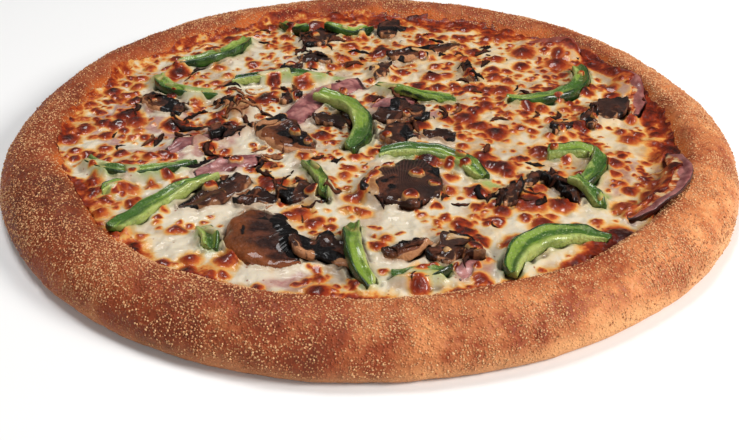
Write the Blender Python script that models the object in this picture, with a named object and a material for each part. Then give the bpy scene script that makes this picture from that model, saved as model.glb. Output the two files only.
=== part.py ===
"""A supreme pizza: a thick risen crust, a layer of melted cheese, and the toppings that lie in it.

Everything is in metres. The pizza lies flat on z = 0 with its middle on the z axis. The crust is a turned
shape made a little uneven. The cheese fills it. Strips of green pepper, flaps of ham and slices of mushroom
then go on one after the other, each lowered onto whatever is already there.
"""

import math
import random
from dataclasses import dataclass

import bmesh
import bpy
from mathutils import Vector, noise
from mathutils.bvhtree import BVHTree

# Crust
OUTER_RADIUS = 0.175
RIM_WIDTH = 0.031
CREST_INSET = 0.0215
CREST_HEIGHT = 0.0225
WIDEST_HEIGHT = 0.0048
BASE_INSET = 0.005
FLOOR_HEIGHT = 0.009
JOIN_HEIGHT = 0.0150
WALL_LEAN = 0.0022
CLIMB_POWER = 1.3
CRUST_SEGMENTS = 96
INNER_STEPS = 4
OUTER_STEPS = 6
UNDER_STEPS = 2

# Cheese
CHEESE_RINGS = 26
CHEESE_LEVEL = 0.0158
CHEESE_SWELL = 0.0009
SWELLS_PER_METRE = 45
EDGE_START = 0.9
BLISTER_COUNT = 150
BLISTER_RADIUS = (0.0045, 0.0085)
BLISTER_HEIGHT = (0.0008, 0.0019)
BLISTER_SKIRT = 1.3
BLISTER_DRAWS = 4000
POCKET_EDGE = 0.005

# How quickly a curl narrows to its ends, how thin any strip gets there, and how unevenly it's cut
CURL_POWER = 1.7
THIN_END = 0.6
UNEVEN_CUT = 0.05
ARC_SAMPLES = 16

# Fits between the pieces
GAP = 0.0004
LEAST_GAP = 0.0003
FEEL_RADIUS = 0.0022
FEEL_DIRECTIONS = 6
DROP_FROM = 0.1
LIFT = 0.0002
MOST_LIFTS = 60

# Cut faces of the strips: across (-1 is the hollow side of the bow, 1 the outer side) and up (0 to 1)
PEPPER_SECTION = ((-0.8, 0.0), (0.85, 0.0), (1.0, 0.55), (0.75, 1.0), (0.1, 0.82), (-0.7, 0.9), (-1.0, 0.45))
HAM_SECTION = ((-0.95, 0.0), (0.95, 0.0), (1.0, 0.9), (0.4, 1.0), (-0.5, 0.75), (-1.0, 0.7))
CURL_SECTION = ((-0.95, 0.0), (0.95, 0.0), (1.0, 0.5), (0.55, 1.0), (-0.1, 0.85), (-0.65, 1.0), (-1.0, 0.6))

# Edge of a slice at angles round it, as waves (count, size, phase) on a unit circle
ROUND_EDGE = ((2, 0.03, 0.5), (3, 0.05, 1.2), (5, 0.03, 2.0))
JAGGED_EDGE = ((2, 0.10, 0.3), (3, 0.17, 2.1), (5, 0.15, 4.4))
SLICE_CORNERS = 16
STEM_REACH = 0.75
NOTCH_DEPTH = 0.62
SLICE_LEVELS = ((1.0, 0.62), (0.55, 1.0))
CROWN = 1.08
WRINKLE = 0.25
WRINKLES_PER_METRE = 160

# How deep the toppings sink into the cheese
PEPPER_SUNK = 0.0025
MUSHROOM_SUNK = 0.0020
HAM_SUNK = 0.0010

PEPPER_COLOUR = (0.10, 0.30, 0.04, 1.0)
HAM_COLOUR = (0.56, 0.24, 0.21, 1.0)
MUSHROOM_COLOUR = (0.16, 0.085, 0.05, 1.0)
CRUST_COLOUR = (0.50, 0.23, 0.10, 1.0)
CHEESE_COLOUR = (0.80, 0.66, 0.42, 1.0)


@dataclass(frozen=True)
class Strip:
    """A strip cut to one section, lying along an arc that bows to the left of the way from start to end.

    At its start and its end it is as wide as ends says, as shares of its full width.
    """

    name: str
    start: tuple
    end: tuple
    bow: float
    width: float
    height: float
    section: tuple
    colour: tuple
    stations: int
    sunk: float
    ends: tuple = (0.75, 0.75)
    end_power: float = 2.6

    def share(self, along):
        """The strip's width at along, from -1 to 1, as a share of its full width."""
        narrow = self.ends[0] if along < 0 else self.ends[1]
        return 1 - (1 - narrow) * abs(along) ** self.end_power

    def arc(self, along):
        """The point at along, from -1 to 1, and the unit vector there that points off the outer side."""
        start, end = Vector(self.start), Vector(self.end)
        chord = end - start
        half = chord.length / 2
        ahead = chord.normalized()
        left = Vector((-ahead.y, ahead.x))
        radius = (half * half + self.bow * self.bow) / (2 * self.bow)
        turn = along * 2 * math.atan(self.bow / half)
        middle = (start + end) / 2 + left * (self.bow - radius)
        out = ahead * math.sin(turn) + left * math.cos(turn)
        return middle + out * radius, out * math.copysign(1, self.bow)

    def distance(self, x, y):
        """How far a point of the plan is outside the strip, below zero inside it."""
        nearest = math.inf
        for k in range(ARC_SAMPLES + 1):
            along = 2 * k / ARC_SAMPLES - 1
            point = self.arc(along)[0]
            reach = self.width / 2 * self.share(along)
            nearest = min(nearest, math.hypot(x - point.x, y - point.y) - reach)
        return nearest


@dataclass(frozen=True)
class Slice:
    """A flat slice of some outline, thickest in the middle, that droops onto what carries it."""

    name: str
    centre: tuple
    heading: float
    length: float
    width: float
    thickness: float
    edge: tuple
    stem: bool
    colour: tuple
    sunk: float

    def outline(self):
        """The slice's edge as unit points, anticlockwise. A stem sticks out between two notches."""
        points = []
        for k in range(SLICE_CORNERS):
            angle = 2 * math.pi * (k + 0.5) / SLICE_CORNERS
            radius = 0.5 * (1 + wave(angle, *self.edge))
            if self.stem:
                off = (angle - 1.5 * math.pi) / math.radians(30)
                radius *= 1 - NOTCH_DEPTH * math.exp(-off * off / 3) + STEM_REACH * math.exp(-off * off * 3)
            points.append((radius * math.cos(angle), radius * math.sin(angle)))
        return points

    def place(self, u, v):
        """A point of the unit outline as a point of the plan."""
        turn = math.radians(self.heading)
        x, y = u * self.length, v * self.width
        return (
            self.centre[0] + x * math.cos(turn) - y * math.sin(turn),
            self.centre[1] + x * math.sin(turn) + y * math.cos(turn),
        )

    def distance(self, x, y):
        """About how far a point of the plan is outside the slice, below zero inside it."""
        turn = math.radians(self.heading)
        dx, dy = x - self.centre[0], y - self.centre[1]
        u = (dx * math.cos(turn) + dy * math.sin(turn)) / (self.length / 2)
        v = (dy * math.cos(turn) - dx * math.sin(turn)) / (self.width / 2)
        return (math.hypot(u, v) - 1) * min(self.length, self.width) / 2


def pepper(number, start, end, bow, width=0.0085, height=0.0052, stations=8, ends=(0.75, 0.75)):
    """A strip of green pepper: skin on its outer side, flesh on top."""
    name = f"pepper_{number:02d}"
    look = (PEPPER_SECTION, PEPPER_COLOUR, stations, PEPPER_SUNK, ends)
    return Strip(name, start, end, bow, width, height, *look)


def ham(number, start, end, bow, width, height=0.0022, stations=7, ends=(0.6, 0.6)):
    """A flap of ham, or the part of a round slice that the cheese leaves bare."""
    name = f"ham_{number:02d}"
    look = (HAM_SECTION, HAM_COLOUR, stations, HAM_SUNK, ends)
    return Strip(name, start, end, bow, width, height, *look)


def scrap(number, centre, heading, length, width, thickness=0.0042, edge=JAGGED_EDGE, stem=False):
    """A flat piece of cooked mushroom, torn at its edge unless edge says otherwise."""
    name = f"mushroom_{number:02d}"
    return Slice(name, centre, heading, length, width, thickness, edge, stem, MUSHROOM_COLOUR, MUSHROOM_SUNK)


def curl(number, start, end, bow, width, height=0.0048, ends=(0.7, 0.3), stations=8):
    """A slice of mushroom cap that shrank to a curl, broad at its start."""
    name = f"mushroom_{number:02d}"
    look = (CURL_SECTION, MUSHROOM_COLOUR, stations, MUSHROOM_SUNK, ends, CURL_POWER)
    return Strip(name, start, end, bow, width, height, *look)


HAMS = (
    ham(1, (-0.040, -0.006), (-0.004, 0.045), 0.007, 0.014, ends=(0.6, 0.8)),
    ham(2, (0.003, 0.012), (0.024, 0.024), 0.002, 0.013),
    ham(3, (-0.094, -0.030), (-0.070, -0.017), 0.002, 0.010),
    ham(4, (-0.078, -0.052), (-0.050, -0.037), 0.002, 0.010),
    ham(5, (0.117, 0.079), (0.088, 0.096), -0.005, 0.014),
    ham(6, (0.131, 0.006), (0.121, 0.070), -0.010, 0.011, stations=10),
    ham(7, (0.108, -0.088), (0.137, -0.034), -0.012, 0.010, stations=10),
    ham(8, (0.034, -0.129), (0.047, -0.122), 0.001, 0.009),
)

MUSHROOMS = (
    curl(1, (-0.043, -0.086), (-0.028, -0.120), -0.009, 0.028, 0.0050, (0.70, 0.12), 11),
    scrap(2, (-0.018, -0.113), -12, 0.024, 0.017, 0.0045),
    scrap(3, (0.015, -0.062), 84, 0.037, 0.036, 0.0060, ROUND_EDGE),
    curl(4, (-0.049, 0.000), (-0.026, -0.027), -0.005, 0.021, 0.0050, (0.7, 0.35)),
    scrap(5, (0.016, 0.007), 15, 0.024, 0.017, 0.0048),
    scrap(6, (0.015, -0.014), 70, 0.022, 0.019, 0.0050, ROUND_EDGE, True),
    scrap(7, (0.034, -0.015), -20, 0.015, 0.010),
    curl(8, (-0.056, -0.056), (-0.081, -0.080), 0.003, 0.013, 0.0045, (0.8, 0.3)),
    scrap(9, (-0.048, -0.073), 10, 0.016, 0.010),
    scrap(10, (-0.029, -0.070), 0, 0.019, 0.015, 0.0055),
    curl(11, (-0.115, 0.031), (-0.094, 0.012), -0.003, 0.014, 0.0045, (0.5, 0.8)),
    curl(12, (-0.076, -0.018), (-0.057, -0.008), 0.002, 0.008),
    scrap(13, (-0.030, 0.108), 65, 0.023, 0.019),
    scrap(14, (0.013, 0.120), 82, 0.027, 0.016, 0.0048, ROUND_EDGE, True),
    curl(15, (0.012, 0.079), (0.050, 0.097), -0.003, 0.013, 0.0045, (0.9, 0.4)),
    scrap(16, (-0.030, 0.076), 0, 0.018, 0.012),
    scrap(17, (-0.043, 0.062), 80, 0.014, 0.010),
    scrap(18, (-0.041, 0.027), 50, 0.012, 0.008),
    scrap(19, (-0.017, 0.001), -20, 0.019, 0.013),
    scrap(20, (0.074, -0.056), 38, 0.015, 0.008),
    curl(21, (0.079, -0.057), (0.088, -0.076), 0.003, 0.007, 0.0045, (0.8, 0.6), 6),
    scrap(22, (0.061, -0.070), 75, 0.017, 0.009),
    scrap(23, (0.121, 0.013), 60, 0.022, 0.018, 0.0048, ROUND_EDGE),
    scrap(24, (0.109, 0.002), 80, 0.014, 0.008),
    scrap(25, (0.093, -0.007), 60, 0.012, 0.009),
    scrap(26, (0.034, -0.113), 20, 0.019, 0.018, 0.0050),
    curl(27, (0.006, -0.114), (0.023, -0.107), -0.003, 0.009, 0.0045, (0.5, 0.6), 6),
    curl(28, (-0.077, 0.025), (-0.064, 0.002), 0.004, 0.011, 0.0045, (0.6, 0.6)),
    curl(29, (0.053, 0.073), (0.057, 0.046), -0.002, 0.005, 0.0040, (0.6, 0.6), 6),
    scrap(30, (0.006, 0.061), 80, 0.019, 0.010),
)

PEPPERS = (
    pepper(1, (-0.071, 0.104), (-0.107, 0.070), 0.009, 0.0095, 0.0058, 9),
    pepper(2, (-0.113, 0.053), (-0.080, 0.032), -0.009, 0.0080),
    pepper(3, (-0.072, 0.047), (-0.023, 0.051), 0.002, 0.0055),
    pepper(4, (-0.052, 0.130), (-0.036, 0.116), -0.003, 0.0080, stations=6),
    pepper(5, (-0.026, 0.024), (-0.010, -0.030), 0.014, 0.0105, 0.0062, 11),
    pepper(6, (0.004, 0.041), (0.043, 0.027), -0.005, 0.0085),
    pepper(7, (0.071, 0.024), (0.113, 0.064), -0.017, 0.0095, 0.0060, 12),
    pepper(8, (-0.069, -0.058), (-0.103, -0.102), -0.005, 0.0090, 0.0056, 10),
    pepper(9, (-0.129, -0.040), (-0.081, -0.041), -0.011, 0.0070, stations=9),
    pepper(10, (-0.116, -0.067), (-0.107, -0.062), 0.001, 0.0060, stations=5),
    pepper(11, (-0.068, -0.097), (-0.063, -0.112), 0.001, 0.0075, stations=5),
    pepper(12, (-0.006, -0.094), (0.001, -0.137), -0.004, 0.0080, 0.0060, 9, (0.5, 0.7)),
    pepper(13, (0.009, -0.130), (0.029, -0.126), -0.003, 0.0080, stations=6),
    pepper(14, (0.054, -0.131), (0.096, -0.106), 0.013, 0.0110, 0.0068, 11, (0.4, 0.4)),
    pepper(15, (0.005, -0.033), (0.050, -0.056), 0.010, 0.0090, 0.0062, 10),
    pepper(16, (0.083, -0.034), (0.103, -0.033), 0.001, 0.0090, 0.0060, 5, (0.9, 0.9)),
    pepper(17, (0.106, -0.038), (0.094, -0.060), 0.002, 0.0080, stations=6),
    pepper(18, (-0.029, -0.042), (-0.020, -0.076), 0.003, 0.0050, stations=8),
    pepper(19, (-0.026, 0.119), (0.000, 0.121), -0.006, 0.0070),
    pepper(20, (0.089, -0.064), (0.098, -0.079), 0.002, 0.0070, stations=5),
)

TOPPINGS = HAMS + MUSHROOMS + PEPPERS


def wave(angle, *terms):
    """A sum of waves round the pizza, each given as its count, size and phase."""
    return sum(size * math.cos(count * angle + phase) for count, size, phase in terms)


def outer_radius(angle):
    """The crust's radius at its widest."""
    return OUTER_RADIUS + wave(angle, (3, 0.0006, 1.0), (5, 0.0004, 2.3), (11, 0.0002, 0.4))


def inner_radius(angle):
    """The radius where the crust meets the cheese."""
    uneven = wave(angle, (2, 0.0012, 0.6), (5, 0.0013, 4.0), (9, 0.0009, 1.9), (17, 0.0006, 5.1))
    return OUTER_RADIUS - RIM_WIDTH + uneven


def crest_height(angle):
    """The height of the rim's top."""
    return CREST_HEIGHT + wave(angle, (2, 0.0005, 2.0), (7, 0.0004, 0.3), (13, 0.0003, 3.3)) - 0.0006


def quarter(count, first=0):
    """Angles from first steps on to a quarter turn."""
    return [math.pi / 2 * k / count for k in range(first, count + 1)]


def rim_profile(angle):
    """The crust's outline at one angle as (radius, height), from the floor over the rim to the base."""
    inside, outside = inner_radius(angle), outer_radius(angle)
    crest, top = outside - CREST_INSET, crest_height(angle)
    base = outside - BASE_INSET
    profile = [(inside - WALL_LEAN, FLOOR_HEIGHT)]
    for step in range(INNER_STEPS + 1):
        share = step / INNER_STEPS
        climb = math.sin(share * math.pi / 2) ** CLIMB_POWER
        profile.append((inside + (crest - inside) * share, JOIN_HEIGHT + (top - JOIN_HEIGHT) * climb))
    for turn in quarter(OUTER_STEPS, 1):
        radius = crest + (outside - crest) * math.sin(turn)
        profile.append((radius, WIDEST_HEIGHT + (top - WIDEST_HEIGHT) * math.cos(turn)))
    for turn in quarter(UNDER_STEPS, 1):
        radius = base + (outside - base) * math.cos(turn)
        profile.append((radius, WIDEST_HEIGHT * (1 - math.sin(turn))))
    return profile


def principled(name, colour, roughness):
    """A plain Principled BSDF material."""
    material = bpy.data.materials.get(name) or bpy.data.materials.new(name)
    material.use_nodes = True
    shader = material.node_tree.nodes["Principled BSDF"]
    shader.inputs["Base Color"].default_value = colour
    shader.inputs["Roughness"].default_value = roughness
    shader.inputs["Metallic"].default_value = 0.0
    return material


def finish_object(name, mesh_builder, colour, roughness, parent):
    """Turns a bmesh into a named object with its material, its faces pointing out."""
    bmesh.ops.triangulate(mesh_builder, faces=mesh_builder.faces)
    bmesh.ops.recalc_face_normals(mesh_builder, faces=mesh_builder.faces)
    mesh = bpy.data.meshes.new(name)
    mesh_builder.to_mesh(mesh)
    mesh_builder.free()
    mesh.shade_smooth()
    mesh.set_sharp_from_angle(angle=math.radians(50))
    mesh.materials.append(principled(name.split("_")[0], colour, roughness))
    obj = bpy.data.objects.new(name, mesh)
    obj.parent = parent
    bpy.context.scene.collection.objects.link(obj)
    return obj


def bridge(mesh_builder, lower, upper):
    """A band of quads between two closed rings of the same count."""
    for k, corner in enumerate(lower):
        following = (k + 1) % len(lower)
        mesh_builder.faces.new((corner, lower[following], upper[following], upper[k]))


def fan(mesh_builder, ring, centre):
    """Closes a ring with triangles to one point."""
    middle = mesh_builder.verts.new(centre)
    for k, corner in enumerate(ring):
        mesh_builder.faces.new((corner, ring[(k + 1) % len(ring)], middle))
    return middle


def make_crust(parent):
    """The dough: a thin base and the risen rim round it, in one piece."""
    shape = bmesh.new()
    angles = [2 * math.pi * k / CRUST_SEGMENTS for k in range(CRUST_SEGMENTS)]
    profiles = [rim_profile(angle) for angle in angles]
    rings = []
    for level in range(len(profiles[0])):
        ring = []
        for angle, profile in zip(angles, profiles):
            radius, height = profile[level]
            ring.append(shape.verts.new((radius * math.cos(angle), radius * math.sin(angle), height)))
        rings.append(ring)
    for lower, upper in zip(rings, rings[1:]):
        bridge(shape, lower, upper)
    fan(shape, rings[0], (0, 0, FLOOR_HEIGHT))
    fan(shape, rings[-1], (0, 0, 0))
    return finish_object("crust", shape, CRUST_COLOUR, 0.75, parent)


def blister_places():
    """Blisters of the cheese as (x, y, radius, height), clear of the toppings and of each other."""
    draw = random.Random(7)
    places = []
    reach = OUTER_RADIUS - RIM_WIDTH - BLISTER_RADIUS[1]
    for _ in range(BLISTER_DRAWS):
        x, y = draw.uniform(-reach, reach), draw.uniform(-reach, reach)
        radius, height = draw.uniform(*BLISTER_RADIUS), draw.uniform(*BLISTER_HEIGHT)
        clear = all(topping.distance(x, y) > radius for topping in TOPPINGS)
        apart = all(math.hypot(x - a, y - b) > (radius + c) * 0.8 for a, b, c, _ in places)
        if math.hypot(x, y) < reach and clear and apart and len(places) < BLISTER_COUNT:
            places.append((x, y, radius, height))
    return places


def smooth_step(value):
    """Runs softly from 0 to 1 as value does."""
    value = min(max(value, 0.0), 1.0)
    return value * value * (3 - 2 * value)


def cheese_height(x, y, blisters):
    """The top of the cheese: a gentle swell, raised blisters, and a pocket under each topping."""
    swell = noise.noise(Vector((x, y, 0.0)) * SWELLS_PER_METRE)
    height = CHEESE_LEVEL + CHEESE_SWELL * swell
    for bx, by, radius, rise in blisters:
        away = math.hypot(x - bx, y - by) / radius
        height += rise * smooth_step(BLISTER_SKIRT - away)
    depth = 0.0
    for topping in TOPPINGS:
        outside = topping.distance(x, y)
        depth = max(depth, topping.sunk * smooth_step(1 - outside / POCKET_EDGE))
    return height - depth


def make_cheese(parent):
    """The cheese and sauce: a disc of even triangles, its edge a hair inside the crust's wall."""
    shape = bmesh.new()
    blisters = blister_places()
    rings = [[shape.verts.new((0, 0, cheese_height(0, 0, blisters)))]]
    for level in range(1, CHEESE_RINGS + 1):
        ring = []
        for k in range(6 * level):
            angle = 2 * math.pi * k / (6 * level)
            radius = (inner_radius(angle) - GAP * 1.5) * level / CHEESE_RINGS
            x, y = radius * math.cos(angle), radius * math.sin(angle)
            edge = smooth_step((level / CHEESE_RINGS - EDGE_START) / (1 - EDGE_START))
            height = cheese_height(x, y, blisters) * (1 - edge) + (JOIN_HEIGHT - GAP) * edge
            ring.append(shape.verts.new((x, y, height)))
        rings.append(ring)
    for level in range(1, CHEESE_RINGS + 1):
        inner, outer = rings[level - 1], rings[level]
        for side in range(6):
            for step in range(level):
                a = outer[side * level + step]
                b = outer[(side * level + step + 1) % (6 * level)]
                c = inner[(side * (level - 1) + step) % len(inner)]
                shape.faces.new((a, b, c))
                if step < level - 1:
                    d = inner[(side * (level - 1) + step + 1) % len(inner)]
                    shape.faces.new((b, d, c))
    foot = []
    for corner in rings[-1]:
        angle = math.atan2(corner.co.y, corner.co.x)
        radius = inner_radius(angle) - WALL_LEAN - 2 * GAP
        foot.append(shape.verts.new((radius * math.cos(angle), radius * math.sin(angle), FLOOR_HEIGHT + GAP)))
    bridge(shape, foot, rings[-1])
    fan(shape, foot, (0, 0, FLOOR_HEIGHT + GAP))
    return finish_object("cheese", shape, CHEESE_COLOUR, 0.4, parent)


class Pile:
    """What lies on the pizza so far. It tells how high a point of the plan is covered."""

    def __init__(self):
        self.trees = []

    def add(self, obj):
        """Counts an object that has no modifiers and whose parent hasn't moved it."""
        mesh = obj.data
        corners = [v.co.copy() for v in mesh.vertices]
        self.trees.append(BVHTree.FromPolygons(corners, [tuple(p.vertices) for p in mesh.polygons]))

    def height(self, x, y):
        """The highest point at x, y, or the floor where there is none."""
        hits = [tree.ray_cast(Vector((x, y, DROP_FROM)), Vector((0, 0, -1)))[0] for tree in self.trees]
        return max([hit.z for hit in hits if hit is not None], default=0.0)

    def rest(self, x, y):
        """The height at which something may lie at x, y, clear of what is close round it."""
        found = self.height(x, y)
        for k in range(FEEL_DIRECTIONS):
            turn = 2 * math.pi * k / FEEL_DIRECTIONS
            feel = (x + FEEL_RADIUS * math.cos(turn), y + FEEL_RADIUS * math.sin(turn))
            found = max(found, self.height(*feel))
        return found + GAP

    def settle(self, shape, columns):
        """Lifts the columns of a shape's corners that touch something, until there is a gap under all."""
        bmesh.ops.triangulate(shape, faces=shape.faces)
        for _ in range(MOST_LIFTS):
            shape.verts.index_update()
            corners = [v.co - Vector((0, 0, LEAST_GAP)) for v in shape.verts]
            faces = [tuple(v.index for v in face.verts) for face in shape.faces]
            mine = BVHTree.FromPolygons(corners, faces)
            touching = {pair[0] for tree in self.trees for pair in mine.overlap(tree)}
            if not touching:
                return
            lifted = {index for face in touching for index in faces[face]}
            for column in columns:
                if any(v.index in lifted for v in column):
                    for v in column:
                        v.co.z += LIFT


def stiffen(heights, closed=False):
    """Lifts the dips of a row of heights half way to their neighbours, as something firm spans them."""
    out = list(heights)
    for k in range(0 if closed else 1, len(heights) - (0 if closed else 1)):
        beside = heights[k - 1] + heights[(k + 1) % len(heights)]
        out[k] = max(heights[k], 0.5 * heights[k] + 0.25 * beside)
    return out


def make_strip(strip, pile, parent):
    """A strip whose section is swept along its arc, its two lower edges on what carries it."""
    last = strip.stations - 1
    places, below = [], {-1: [], 1: []}
    for k in range(strip.stations):
        along = 2 * k / last - 1
        point, out = strip.arc(along)
        taper = strip.share(along) * (1 + UNEVEN_CUT * math.sin(2.4 * k + strip.bow * 1000))
        reach = strip.width / 2 * taper
        places.append((point, out, reach, max(taper, THIN_END)))
        for side in below:
            shares = (0.0, 0.5, 1.0)
            below[side].append(max(pile.rest(*(point + out * reach * share * side)) for share in shares))
    below = {side: stiffen(stiffen(heights)) for side, heights in below.items()}
    shape = bmesh.new()
    rings = []
    for k, (point, out, reach, taper) in enumerate(places):
        ring = []
        for across, up in strip.section:
            base = below[-1][k] + (below[1][k] - below[-1][k]) * (across + 1) / 2
            place = point + out * reach * across
            ring.append(shape.verts.new((place.x, place.y, base + up * strip.height * taper)))
        rings.append(ring)
    for lower, upper in zip(rings, rings[1:]):
        bridge(shape, lower, upper)
    shape.faces.new(rings[0])
    shape.faces.new(rings[-1])
    pile.settle(shape, rings)
    return finish_object(strip.name, shape, strip.colour, 0.4, parent)


def make_slice(piece, pile, parent):
    """A slice built of a lower and an upper sheet, split into triangles alike, and the edge between them."""
    shape = bmesh.new()
    columns = []
    lower_rings, upper_rings = [], []
    for scale, share in SLICE_LEVELS:
        plan = [piece.place(u * scale, v * scale) for u, v in piece.outline()]
        bases = stiffen([pile.rest(*place) for place in plan], closed=True)
        lower, upper = [], []
        for (x, y), base in zip(plan, bases):
            wrinkle = noise.noise(Vector((x, y, 0.0)) * WRINKLES_PER_METRE)
            thick = piece.thickness * share * (1 + WRINKLE * wrinkle)
            lower.append(shape.verts.new((x, y, base)))
            upper.append(shape.verts.new((x, y, base + thick)))
        lower_rings.append(lower)
        upper_rings.append(upper)
        columns += [list(pair) for pair in zip(lower, upper)]
    base = pile.rest(*piece.centre)
    middles = []
    for (outer, inner), height in ((lower_rings, base), (upper_rings, base + piece.thickness * CROWN)):
        bridge(shape, outer, inner)
        middles.append(fan(shape, inner, (*piece.centre, height)))
    columns.append(middles)
    bridge(shape, lower_rings[0], upper_rings[0])
    pile.settle(shape, columns)
    return finish_object(piece.name, shape, piece.colour, 0.55, parent)


def main():
    """Builds the pizza from the crust up."""
    for obj in list(bpy.data.objects):
        bpy.data.objects.remove(obj, do_unlink=True)
    pizza = bpy.data.objects.new("pizza", None)
    bpy.context.scene.collection.objects.link(pizza)
    pile = Pile()
    pile.add(make_crust(pizza))
    pile.add(make_cheese(pizza))
    for topping in TOPPINGS:
        make = make_strip if isinstance(topping, Strip) else make_slice
        pile.add(make(topping, pile, pizza))


main()
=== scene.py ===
"""The looks of a supreme pizza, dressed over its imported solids.

The crust gets its baked skin and its cornmeal, the cheese its blisters, its browning and the way it runs over
the toppings. Each strip of pepper, flap of ham and slice of mushroom is made again in detail where its solid
lies. Everything is in metres, with the pizza flat on z = 0 and its middle on the z axis.
"""

import logging
import math
from dataclasses import dataclass, field
from enum import Enum
from typing import Any, Callable, Optional, Sequence, Union

import bpy
import numpy as np
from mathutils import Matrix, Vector
from mathutils.bvhtree import BVHTree


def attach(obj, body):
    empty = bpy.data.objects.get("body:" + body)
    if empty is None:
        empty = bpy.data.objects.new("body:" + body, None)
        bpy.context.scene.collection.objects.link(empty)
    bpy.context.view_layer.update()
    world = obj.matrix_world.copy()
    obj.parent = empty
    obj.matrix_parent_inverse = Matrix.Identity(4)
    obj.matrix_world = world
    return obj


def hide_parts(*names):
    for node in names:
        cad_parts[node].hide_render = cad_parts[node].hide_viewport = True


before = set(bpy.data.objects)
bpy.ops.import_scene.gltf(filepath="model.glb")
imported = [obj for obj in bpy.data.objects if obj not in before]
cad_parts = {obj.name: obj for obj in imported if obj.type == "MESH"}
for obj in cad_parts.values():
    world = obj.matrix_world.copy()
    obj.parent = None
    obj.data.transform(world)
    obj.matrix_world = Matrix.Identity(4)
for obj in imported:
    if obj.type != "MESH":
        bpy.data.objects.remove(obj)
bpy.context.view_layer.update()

LOG = logging.getLogger("pizza")
BODY = "root"
GILLS = 140
GILL_SPACING = 0.0008
ABOVE_ALL = 0.1
BELOW_ALL = -0.01

Array = np.ndarray
Number = Union[int, float]
Pair = tuple[float, float]
Triple = tuple[float, float, float]
Colour = Triple
Form = tuple[Array, list[Array], dict[str, Array]]
Profile = Callable[[Array], Array]


def smooth_step(value: Array) -> Array:
    """Runs softly from 0 to 1 as value does."""
    value = np.clip(value, 0.0, 1.0)
    return value * value * (3 - 2 * value)


def srgb(red: int, green: int, blue: int) -> Colour:
    """A colour of a screen as the linear values that a shader takes.

    Args:
        red, green, blue: the colour, 0 to 255.

    Returns:
        The linear values.
    """
    scaled = [channel / 255 for channel in (red, green, blue)]
    linear = [c / 12.92 if c <= 0.04045 else ((c + 0.055) / 1.055) ** 2.4 for c in scaled]
    return linear[0], linear[1], linear[2]


class Ripple:
    """Smooth seeded noise in space, about -1 to 1."""

    CELLS = 64

    def __init__(self, seed: int) -> None:
        """Draws the lattice.

        Args:
            seed: the draw's seed.
        """
        draw = np.random.default_rng(seed)
        self.lattice = draw.uniform(-1, 1, (self.CELLS,) * 3)

    def at(self, x: Array, y: Array, z: Union[Array, float], size: float) -> Array:
        """Noise whose bumps are about size across.

        Args:
            x, y, z: where, in metres.
            size: the length of one cell, in metres.

        Returns:
            The noise at each point.
        """
        axes = []
        for values in np.broadcast_arrays(x, y, z):
            cell = np.floor(values / size)
            axes.append((cell.astype(int), smooth_step(values / size - cell)))
        total = 0.0
        for corner in range(8):
            weight, index = 1.0, []
            for axis, (cell, share) in enumerate(axes):
                step = corner >> axis & 1
                weight = weight * (share if step else 1 - share)
                index.append((cell + step) % self.CELLS)
            total = total + weight * self.lattice[tuple(index)]
        return total

    def layered(self, x: Array, y: Array, z: Union[Array, float], size: float, layers: int = 3) -> Array:
        """Noise with finer noise on it, each layer half as wide and half as strong as the last.

        Args:
            x, y, z: where, in metres.
            size: the length of one cell of the first layer, in metres.
            layers: how many there are.

        Returns:
            The noise at each point.
        """
        total = 0.0
        for layer in range(layers):
            shift = 0.37 * layer * size
            total = total + self.at(x + shift, y - shift, z + shift, size / 2**layer) / 2**layer
        return total


class Link:
    """A socket of a node tree that Python's operators work on."""

    def __init__(self, dressing: "Dressing", socket: bpy.types.NodeSocket) -> None:
        """Wraps a socket.

        Args:
            dressing: the material it belongs to.
            socket: the output socket.
        """
        self.dressing = dressing
        self.socket = socket

    def _math(self, operation: str, first: Any, second: Any) -> "Link":
        """A Math node on two values."""
        return self.dressing.node("ShaderNodeMath", {"operation": operation}, {0: first, 1: second})

    def __add__(self, other: "Value") -> "Link":
        """This plus other."""
        return self._math("ADD", self, other)

    __radd__ = __add__

    def __sub__(self, other: "Value") -> "Link":
        """This less other."""
        return self._math("SUBTRACT", self, other)

    def __rsub__(self, other: "Value") -> "Link":
        """Other less this."""
        return self._math("SUBTRACT", other, self)

    def __mul__(self, other: "Value") -> "Link":
        """This times other."""
        return self._math("MULTIPLY", self, other)

    __rmul__ = __mul__

    def most(self, other: "Value") -> "Link":
        """The larger of this and other."""
        return self._math("MAXIMUM", self, other)

    def between(self, low: float, high: float) -> "Link":
        """Runs softly from 0 to 1 as this goes from low to high, or back where high is the lower."""
        inputs = {"Value": self, "From Min": low, "From Max": high}
        return self.dressing.node("ShaderNodeMapRange", {"interpolation_type": "SMOOTHSTEP"}, inputs)


Value = Union[Link, Number]
Paint = Union[Link, Colour]


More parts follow.
